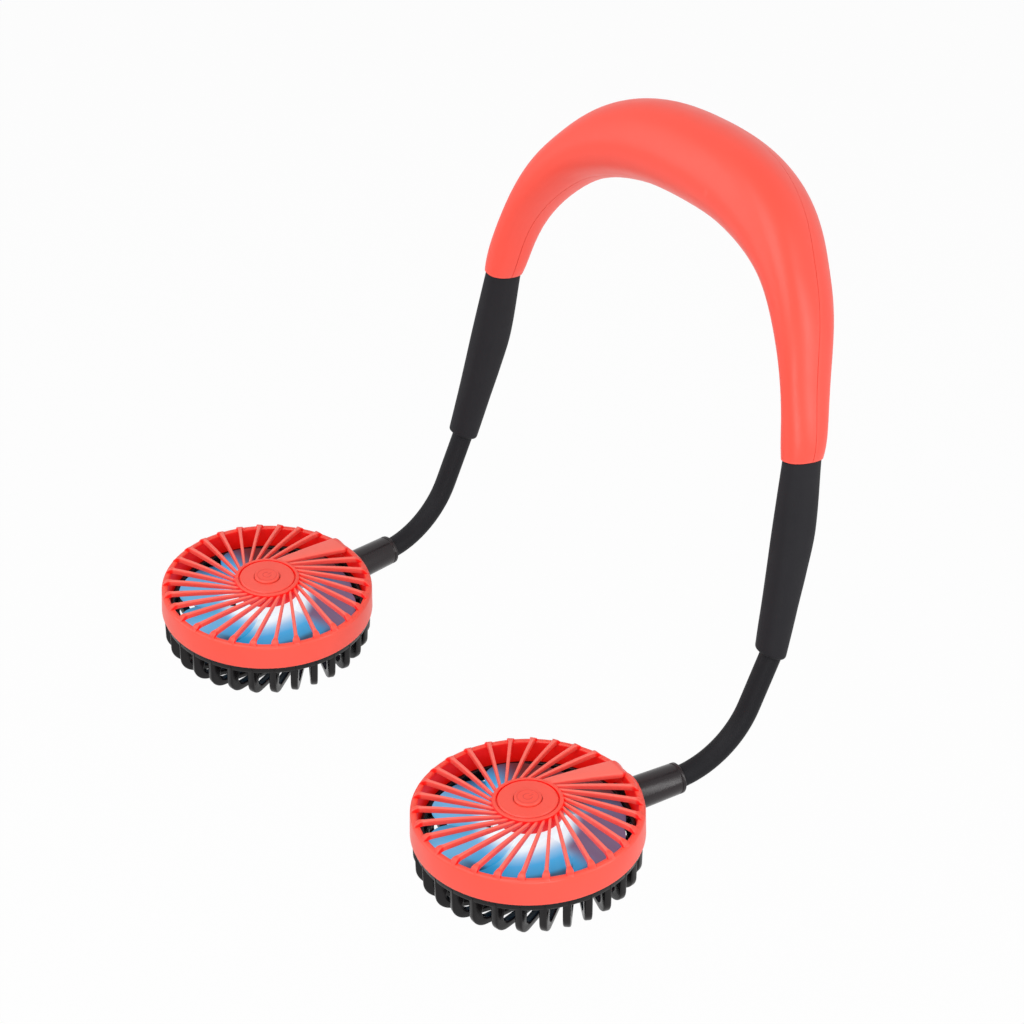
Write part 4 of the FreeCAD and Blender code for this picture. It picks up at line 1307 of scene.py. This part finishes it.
    def spoke(self, angle: float, half_width: Callable[[float], float], reach: float, crown: float) -> Mesh:
        """One spoke: a bar with a round back that passes beside the axis and drops over the rim.

        Args:
            angle: How far the spoke is turned about the axis.
            half_width: Gives half its width at a distance from the axis.
            reach: Distance of its outer end from the axis.
            crown: Radius of its upper edges.

        Returns:
            The spoke's mesh.
        """
        rounds = (self.spoke_foot_round, self.spoke_foot_round, crown, crown)
        inner = self.hub_radius - self.spoke_sink
        rings = []
        for step in range(self.spoke_steps + 1):
            share = 1 - (1 - step / self.spoke_steps) ** self.spoke_crowding
            radius = inner + (reach - inner) * share
            along = math.sqrt(radius ** 2 - self.spoke_offset ** 2)
            half, top = half_width(radius), self.dome(max(radius, self.hub_radius))
            outward = min(1.0, (radius - self.hub_radius) / (self.rim_inner_top - self.hub_radius))
            foot = self.spoke_foot_hub + (self.spoke_foot_rim - self.spoke_foot_hub) * outward
            foot = min(foot, top - self.spoke_least_depth)
            outline = rounded([(-half, foot), (half, foot), (half, top), (-half, top)], rounds)
            rings.append([Vector((along, self.spoke_offset + across, up)) * MM for across, up in outline])
        return spun(loft(rings), angle)


@dataclass
class Collar:
    """The tapered tube from cage to gooseneck, along +Y of the head's frame. Lengths are millimetres."""

    drop: float = 0.9
    root: float = 32.6
    tip: float = 54.1
    root_radius: float = 5.38
    tip_radius: float = 5.0
    groove: float = 52.4
    groove_width: float = 0.5
    groove_depth: float = 0.2
    mouth_radius: float = 4.4
    mouth_floor: float = 51.5
    rounds: Rounds = (0.0, 0.0, 0.1, 0.1, 0.1, 0.1, 0.55, 0.25, 0.2, 0.0)
    steps: int = 72

    def mesh(self) -> Mesh:
        """The collar, with a fine groove near its end and a round lip.

        Returns:
            The mesh, in metres.
        """
        sunk = self.tip_radius - self.groove_depth
        groove_end = self.groove + self.groove_width
        corners = [
            (0.0, self.root), (self.root_radius, self.root), (self.tip_radius, self.groove),
            (sunk, self.groove), (sunk, groove_end), (self.tip_radius, groove_end),
            (self.tip_radius, self.tip), (self.mouth_radius, self.tip),
            (self.mouth_radius, self.mouth_floor), (0.0, self.mouth_floor),
        ]
        tube = turned(corners, self.rounds, self.steps)
        return reshape(tube, lambda point: Vector((point.x, point.z, -point.y - self.drop * MM)))


@dataclass
class RearCage:
    """The black rear cage in the head's frame: ring, slanted bars, back plate and motor seat.

    Lengths are millimetres and angles are degrees.
    """

    ring_radius: float = 34.6
    ring_height: float = 2.1
    ring_top: float = 0.5
    ring_rounds: Rounds = (0.3, 0.6, 0.25, 0.1, 0.3, 0.3)
    ring_steps: int = 144
    lip_radius: float = 32.3
    lip_inner: float = 31.1
    lip_height: float = 2.4
    depth: float = 12.5
    foot_radius: float = 34.2
    side_thickness: float = 4.4
    foot_thickness: float = 2.4
    back_thickness: float = 1.8
    back_edge: float = 0.4
    back_steps: int = 96
    bar_thickness: float = 2.6
    bar_corner: float = 5.0
    bar_inner_corner: float = 0.3
    bar_corner_steps: int = 10
    bar_count: int = 30
    bar_offset: float = 14.0
    bar_width: float = 2.4
    bar_edge: float = 0.6
    bar_ring_inset: float = 0.15
    bar_plate_overlap: float = 0.6
    plate_radius: float = 17.5
    screw_hole: float = 1.9
    screw_hole_steps: int = 32
    screw_circle: float = 5.5
    cup_inner: float = 8.6
    cup_outer: float = 9.8
    cup_height: float = 3.0
    cup_rounds: Rounds = (0.0, 0.0, 0.2, 0.2)
    cup_arc_steps: int = 3
    cup_steps: int = 72
    boss: Boss = field(default_factory=lambda: Boss(upper=False))

    def mesh(self) -> Mesh:
        """The whole cage.

        Returns:
            The cage's mesh, in metres.
        """
        bars = [self.bar(WHOLE_TURN * index / self.bar_count) for index in range(self.bar_count)]
        return merge([self.ring(), self.back(), self.cup(), self.boss.mesh(), *bars])

    def ring(self) -> Mesh:
        """The ring under the front cage's rim, with a lip up inside it.

        Returns:
            The ring's mesh.
        """
        corners = [
            (self.lip_inner, -self.ring_height), (self.ring_radius, -self.ring_height),
            (self.ring_radius, self.ring_top), (self.lip_radius, self.ring_top),
            (self.lip_radius, self.lip_height), (self.lip_inner, self.lip_height),
        ]
        return turned(corners, self.ring_rounds, self.ring_steps)

    def back(self) -> Mesh:
        """The plate behind the motor, with two screw holes.

        Returns:
            The plate's mesh.
        """
        screws = [(side * self.screw_circle, 0.0) for side in (1, -1)]
        holes = [circle(self.screw_hole, self.screw_hole_steps, screw) for screw in screws]
        outline = circle(self.plate_radius, self.back_steps)
        return plate(outline, holes, self.back_thickness, self.back_edge, self.back_thickness - self.depth)

    def cup(self) -> Mesh:
        """The low wall round the motor.

        Returns:
            The wall's mesh.
        """
        foot = self.back_thickness / 2 - self.depth
        top = self.back_thickness - self.depth + self.cup_height
        inner, outer = self.cup_inner, self.cup_outer
        corners = [(inner, foot), (outer, foot), (outer, top), (inner, top)]
        return turned(corners, self.cup_rounds, self.cup_steps, self.cup_arc_steps)

    def bar(self, angle: float) -> Mesh:
        """One bar: down from the ring, round the lower corner and in under the cage to the back plate.

        Args:
            angle: How far the bar is turned about the axis.

        Returns:
            The bar's mesh.
        """
        top, floor, back = -self.ring_height / 3, self.bar_thickness - self.depth, -self.depth
        inside, heel = self.foot_radius - self.side_thickness, self.foot_radius - self.foot_thickness
        end = self.plate_radius - self.bar_plate_overlap
        places = [
            (self.ring_radius - self.bar_ring_inset, top), (inside, top), (heel, floor), (end, floor),
            (end, back), (self.foot_radius, back),
        ]
        corners = [(math.sqrt(radius ** 2 - self.bar_offset ** 2), up) for radius, up in places]
        heel_corner = self.bar_corner - self.bar_thickness
        rounds = (0.0, 0.0, heel_corner, self.bar_inner_corner, 0.0, self.bar_corner)
        fin = plate(rounded(corners, rounds, self.bar_corner_steps), [], self.bar_width, self.bar_edge)
        side = (self.bar_offset + self.bar_width / 2) * MM
        return spun(reshape(fin, lambda point: Vector((point.x, side + point.z, point.y))), angle)


@dataclass
class Impeller:
    """The fan wheel in the head's frame: a cup over the motor and broad twisted blades.

    Lengths are millimetres and angles are degrees.
    """

    radius: float = 30.3
    hub_radius: float = 10.6
    hub_top: float = 6.2
    hub_foot: float = -6.0
    hub_wall: float = 1.2
    hub_rounds: Rounds = (0.0, 0.6, 0.2, 0.2, 2.0, 0.0)
    hub_arc_steps: int = 6
    hub_steps: int = 96
    blade_count: int = 6
    blade_sector: float = 84.0
    blade_start: float = 8.5
    blade_top: float = 4.3
    blade_foot: float = -1.2
    blade_early_drop: float = 0.52
    blade_thickness: float = 1.3
    blade_edge_share: float = 0.35
    blade_edge_slope: float = 6.0
    blade_tip_round_share: float = 0.9
    blade_steps: int = 40
    petal_side: float = 4.0
    petal_end: float = 2.0
    petal_limit: float = 0.985

    def mesh(self) -> Mesh:
        """The whole wheel.

        Returns:
            The wheel's mesh, in metres.
        """
        inner, ceiling = self.hub_radius - self.hub_wall, self.hub_top - self.hub_wall
        corners = [
            (0.0, ceiling), (inner, ceiling), (inner, self.hub_foot), (self.hub_radius, self.hub_foot),
            (self.hub_radius, self.hub_top), (0.0, self.hub_top),
        ]
        hub = turned(corners, self.hub_rounds, self.hub_steps, self.hub_arc_steps)
        pitch = WHOLE_TURN / self.blade_count
        blades = [self.blade(self.blade_start + pitch * index) for index in range(self.blade_count)]
        return merge([hub, *blades])

    def blade(self, angle: float) -> Mesh:
        """One blade: a petal that drops as it sweeps round the hub, thinner at both edges and its tip.

        Args:
            angle: Where its upper edge is.

        Returns:
            The blade's mesh.
        """
        root = self.hub_radius - self.hub_wall / 2
        early, edge = self.blade_early_drop, self.blade_edge_share
        rings = []
        for step in range(self.blade_steps + 1):
            share = (1 - math.cos(math.pi * step / self.blade_steps)) / 2
            left = 1 - early * share - (1 - early) * share ** 2
            middle = self.blade_foot + (self.blade_top - self.blade_foot) * left
            side = min(self.petal_limit, abs(2 * share - 1))
            tip = root + (self.radius - root) * (1 - side ** self.petal_side) ** (1 / self.petal_end)
            inward = min(1.0, self.blade_edge_slope * min(share, 1 - share))
            half = self.blade_thickness / 2 * (edge + (1 - edge) * math.sqrt(inward * (2 - inward)))
            low, high = middle - half, middle + half
            tip_round = half * self.blade_tip_round_share
            corners = [(root, low), (tip, low), (tip, high), (root, high)]
            outline = rounded(corners, (0.0, tip_round, tip_round, 0.0))
            turn = Matrix.Rotation(math.radians(angle - share * self.blade_sector), 3, "Z")
            rings.append([turn @ Vector((out, 0.0, up)) * MM for out, up in outline])
        return loft(rings)


@dataclass
class PowerMark:
    """The plain power symbol on the button, with a fine ring round it.

    Lengths are millimetres, and the gap is half of the opening in degrees.
    """

    radius: float = 1.4
    line: float = 0.3
    gap: float = 38.0
    stroke: Point2 = (0.35, 1.95)
    stroke_round_share: float = 0.8
    ring_radius: float = 3.2
    ring_line: float = 0.18
    button_top: float = 13.0
    proud: float = 0.05
    depth: float = 0.15
    edge: float = 0.02
    steps: int = 36

    def mesh(self) -> Mesh:
        """The mark, just proud of the button.

        Returns:
            The mark's mesh, in metres.
        """
        half, ring_half = self.line / 2, self.ring_line / 2
        first, last = math.radians(90 + self.gap), math.radians(90 + WHOLE_TURN - self.gap)
        outer, inner = (arc(self.radius + side * half, first, last, self.steps) for side in (1, -1))
        low, high = self.stroke
        corners = [(-half, low), (half, low), (half, high), (-half, high)]
        stroke = rounded(corners, (half * self.stroke_round_share,) * len(corners))
        outside, inside = (circle(self.ring_radius + side * ring_half, 2 * self.steps) for side in (1, -1))
        top = self.button_top + self.proud
        shapes = [(outer + inner[::-1], []), (stroke, []), (outside, [inside])]
        return merge(plate(outline, holes, self.depth, self.edge, top) for outline, holes in shapes)


@dataclass
class FanHead:
    """One fan head: cage, hub, button, impeller and motor."""

    side: Side
    finishes: dict[str, Finish] = field(default_factory=lambda: {
        "hub_cap": CORAL,
        "power_button": CORAL,
        "switch_board": BOARD_GREEN,
        "button_switch": SWITCH_BLACK,
        "hub_leds": LAMP_CLEAR,
        "motor_can": STEEL,
        "motor_bush": BRASS,
        "motor_shaft": STEEL,
        "motor_screws": STEEL,
    })

    def build(self) -> None:
        """Makes the modelled pieces and dresses the nodes that are shown as they are."""
        self.place("front_cage", FrontCage().mesh(), CORAL_CAGE, "head", "coral_plastic", "front_grille")
        self.place("rear_cage", RearCage().mesh(), CAGE_BLACK, "head", "black_plastic", "rear_grille")
        self.place("neck_collar", Collar().mesh(), COLLAR_BROWN, "head", "collar_plastic", "collar")
        self.place("fan_wheel", Impeller().mesh(), PAINTED_GLOW_PLASTIC, "fan", "impeller_plastic", "impeller")
        self.place("power_mark", PowerMark().mesh(), MARK_RED, "button", "coral_plastic")
        for name, finish in self.finishes.items():
            dress_node(f"{name}_{self.side.value}", finish)

    def place(
        self, name: str, mesh: Mesh, finish: Finish | PaintedGlowPlastic, body: str, slot: str, *nodes: str
    ) -> None:
        """Puts a piece in the head's frame and on its body.

        Args:
            name: Name of the piece, without its side.
            mesh: Its mesh in the head's frame.
            finish: Its finish.
            body: The body it rides on, without its side.
            slot: Not used.
            *nodes: The nodes that it stands for, without their side.
        """
        made = piece(f"{name}_{self.side.value}", mesh, finish, Shading.MOULDED)
        made.matrix_world = head_matrix(self.side)
        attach(made, f"{self.side.value}_{body}")
        if nodes:
            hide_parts(*(f"{node}_{self.side.value}" for node in nodes))


# Studio


@dataclass(frozen=True)
class Lamp:
    """A soft rectangular lamp aimed at the fan. Angles are degrees, lengths metres and the power watts."""

    name: str
    azimuth: float
    elevation: float
    distance: float
    size: Point2
    power: float


@dataclass
class Studio:
    """Pale floor, soft lights and the photograph's camera. Angles are in degrees, lengths in metres."""

    target: Vector = field(default_factory=lambda: Vector((7.0, -57.6, -32.0)) * MM)
    azimuth: float = 53.19
    elevation: float = 33.21
    distance: float = 0.7966
    focal_pixels: float = 2554.0
    image_pixels: float = 1024.0
    nearest: float = 0.01
    surroundings: Colour = (1.0, 1.0, 1.0)
    surroundings_light: float = 0.42
    floor_drop: float = 0.3
    floor_size: float = 12.0
    floor_colour: Colour = (0.92, 0.92, 0.92)
    floor_roughness: float = 0.9
    floor_glow: float = 0.95
    lamps: tuple[Lamp, ...] = (
        Lamp("key", azimuth=15.0, elevation=55.0, distance=1.1, size=(0.8, 0.8), power=5.4),
        Lamp("front", azimuth=62.0, elevation=8.0, distance=1.0, size=(0.5, 0.35), power=2.8),
        Lamp("side", azimuth=122.0, elevation=20.0, distance=1.0, size=(0.14, 0.9), power=3.2),
        Lamp("fill", azimuth=-40.0, elevation=25.0, distance=1.2, size=(0.5, 0.9), power=3.0),
    )

    def build(self) -> None:
        """Makes world, floor, lights and camera."""
        self.make_world()
        self.make_floor()
        for lamp in self.lamps:
            self.make_lamp(lamp)
        self.make_camera()

    def make_world(self) -> None:
        """White surroundings: at full strength where they are seen, weaker as light."""
        world = bpy.data.worlds.new("white surroundings")
        bpy.context.scene.world = world
        world.use_nodes = True
        wiring = Wiring(world.node_tree)
        strength = wiring.between(self.seen_rays(wiring), (0.0, 1.0), low=self.surroundings_light)
        wiring.fill(world.node_tree.nodes["Background"], Color=self.surroundings, Strength=strength)

    @staticmethod
    def seen_rays(wiring: Wiring) -> Socket:
        """One where a surface is seen: by the camera, in a mirror image or through something clear.

        Args:
            wiring: Wiring of the material or world.

        Returns:
            The socket that carries the mask.
        """
        path = wiring.node("LightPath").outputs
        seen = path["Is Camera Ray"]
        for kind in ("Is Glossy Ray", "Is Transmission Ray"):
            seen = wiring.number("MAXIMUM", seen, path[kind])
        return seen

    def make_floor(self) -> None:
        """A pale floor well below the fan, which keeps a faint shadow."""
        mesh = bmesh.new()
        bmesh.ops.create_grid(mesh, x_segments=1, y_segments=1, size=self.floor_size / 2)
        data = bpy.data.meshes.new("floor")
        mesh.to_mesh(data)
        mesh.free()
        floor = bpy.data.objects.new("floor", data)
        floor.location.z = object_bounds()[0].z - self.floor_drop
        bpy.context.scene.collection.objects.link(floor)
        paint, wiring, skin = surface("pale floor")
        wiring.feed(skin["Base Color"], self.floor_colour)
        skin["Roughness"].default_value = self.floor_roughness
        skin["Specular IOR Level"].default_value = 0.0
        nodes = paint.node_tree.nodes
        mix = wiring.node("MixShader")
        glow = wiring.node("Emission").outputs["Emission"]
        share = wiring.number("MULTIPLY", self.seen_rays(wiring), self.floor_glow)
        for target, value in zip(mix.inputs, (share, nodes["Principled BSDF"].outputs["BSDF"], glow)):
            wiring.feed(target, value)
        wiring.fill(nodes["Material Output"], Surface=mix.outputs["Shader"])
        data.materials.append(paint)
        floor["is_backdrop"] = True

    def make_lamp(self, lamp: Lamp) -> None:
        """Puts a lamp in its place.

        Args:
            lamp: The lamp.
        """
        data = bpy.data.lights.new(lamp.name, "AREA")
        data.shape = "RECTANGLE"
        data.size, data.size_y = lamp.size
        data.energy = lamp.power
        self.aim(bpy.data.objects.new(lamp.name, data), lamp.azimuth, lamp.elevation, lamp.distance)

    def make_camera(self) -> None:
        """The camera at the photograph's place and angle."""
        data = bpy.data.cameras.new("camera")
        data.lens = data.sensor_width * self.focal_pixels / self.image_pixels
        data.clip_start = self.nearest
        camera = bpy.data.objects.new("camera", data)
        self.aim(camera, self.azimuth, self.elevation, self.distance)
        bpy.context.scene.camera = camera

    def aim(self, made: bpy.types.Object, azimuth: float, elevation: float, distance: float) -> None:
        """Puts a lamp or the camera in the scene, pointed at the fan.

        Args:
            made: The lamp or camera.
            azimuth: Its direction from the fan; 0 is in front of it, at -Y.
            elevation: Its height above the horizon.
            distance: Its distance from the fan.
        """
        turn, rise = math.radians(azimuth), math.radians(elevation)
        flat = math.cos(rise)
        back = Vector((math.sin(turn) * flat, -math.cos(turn) * flat, math.sin(rise)))
        made.location = self.target + back * distance
        made.rotation_mode = "QUATERNION"
        made.rotation_quaternion = (-back).to_track_quat("-Z", "Y")
        bpy.context.scene.collection.objects.link(made)


def main() -> None:
    """Builds and dresses the fan and its studio."""
    logging.basicConfig(level=logging.INFO, format="%(name)s %(message)s")
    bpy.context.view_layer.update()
    bpy.context.scene.view_settings.view_transform = "Standard"
    Band().dress()
    for side in Side:
        Arm(side).build()
        FanHead(side).build()
    Studio().build()


if __name__ == "__main__":
    main()
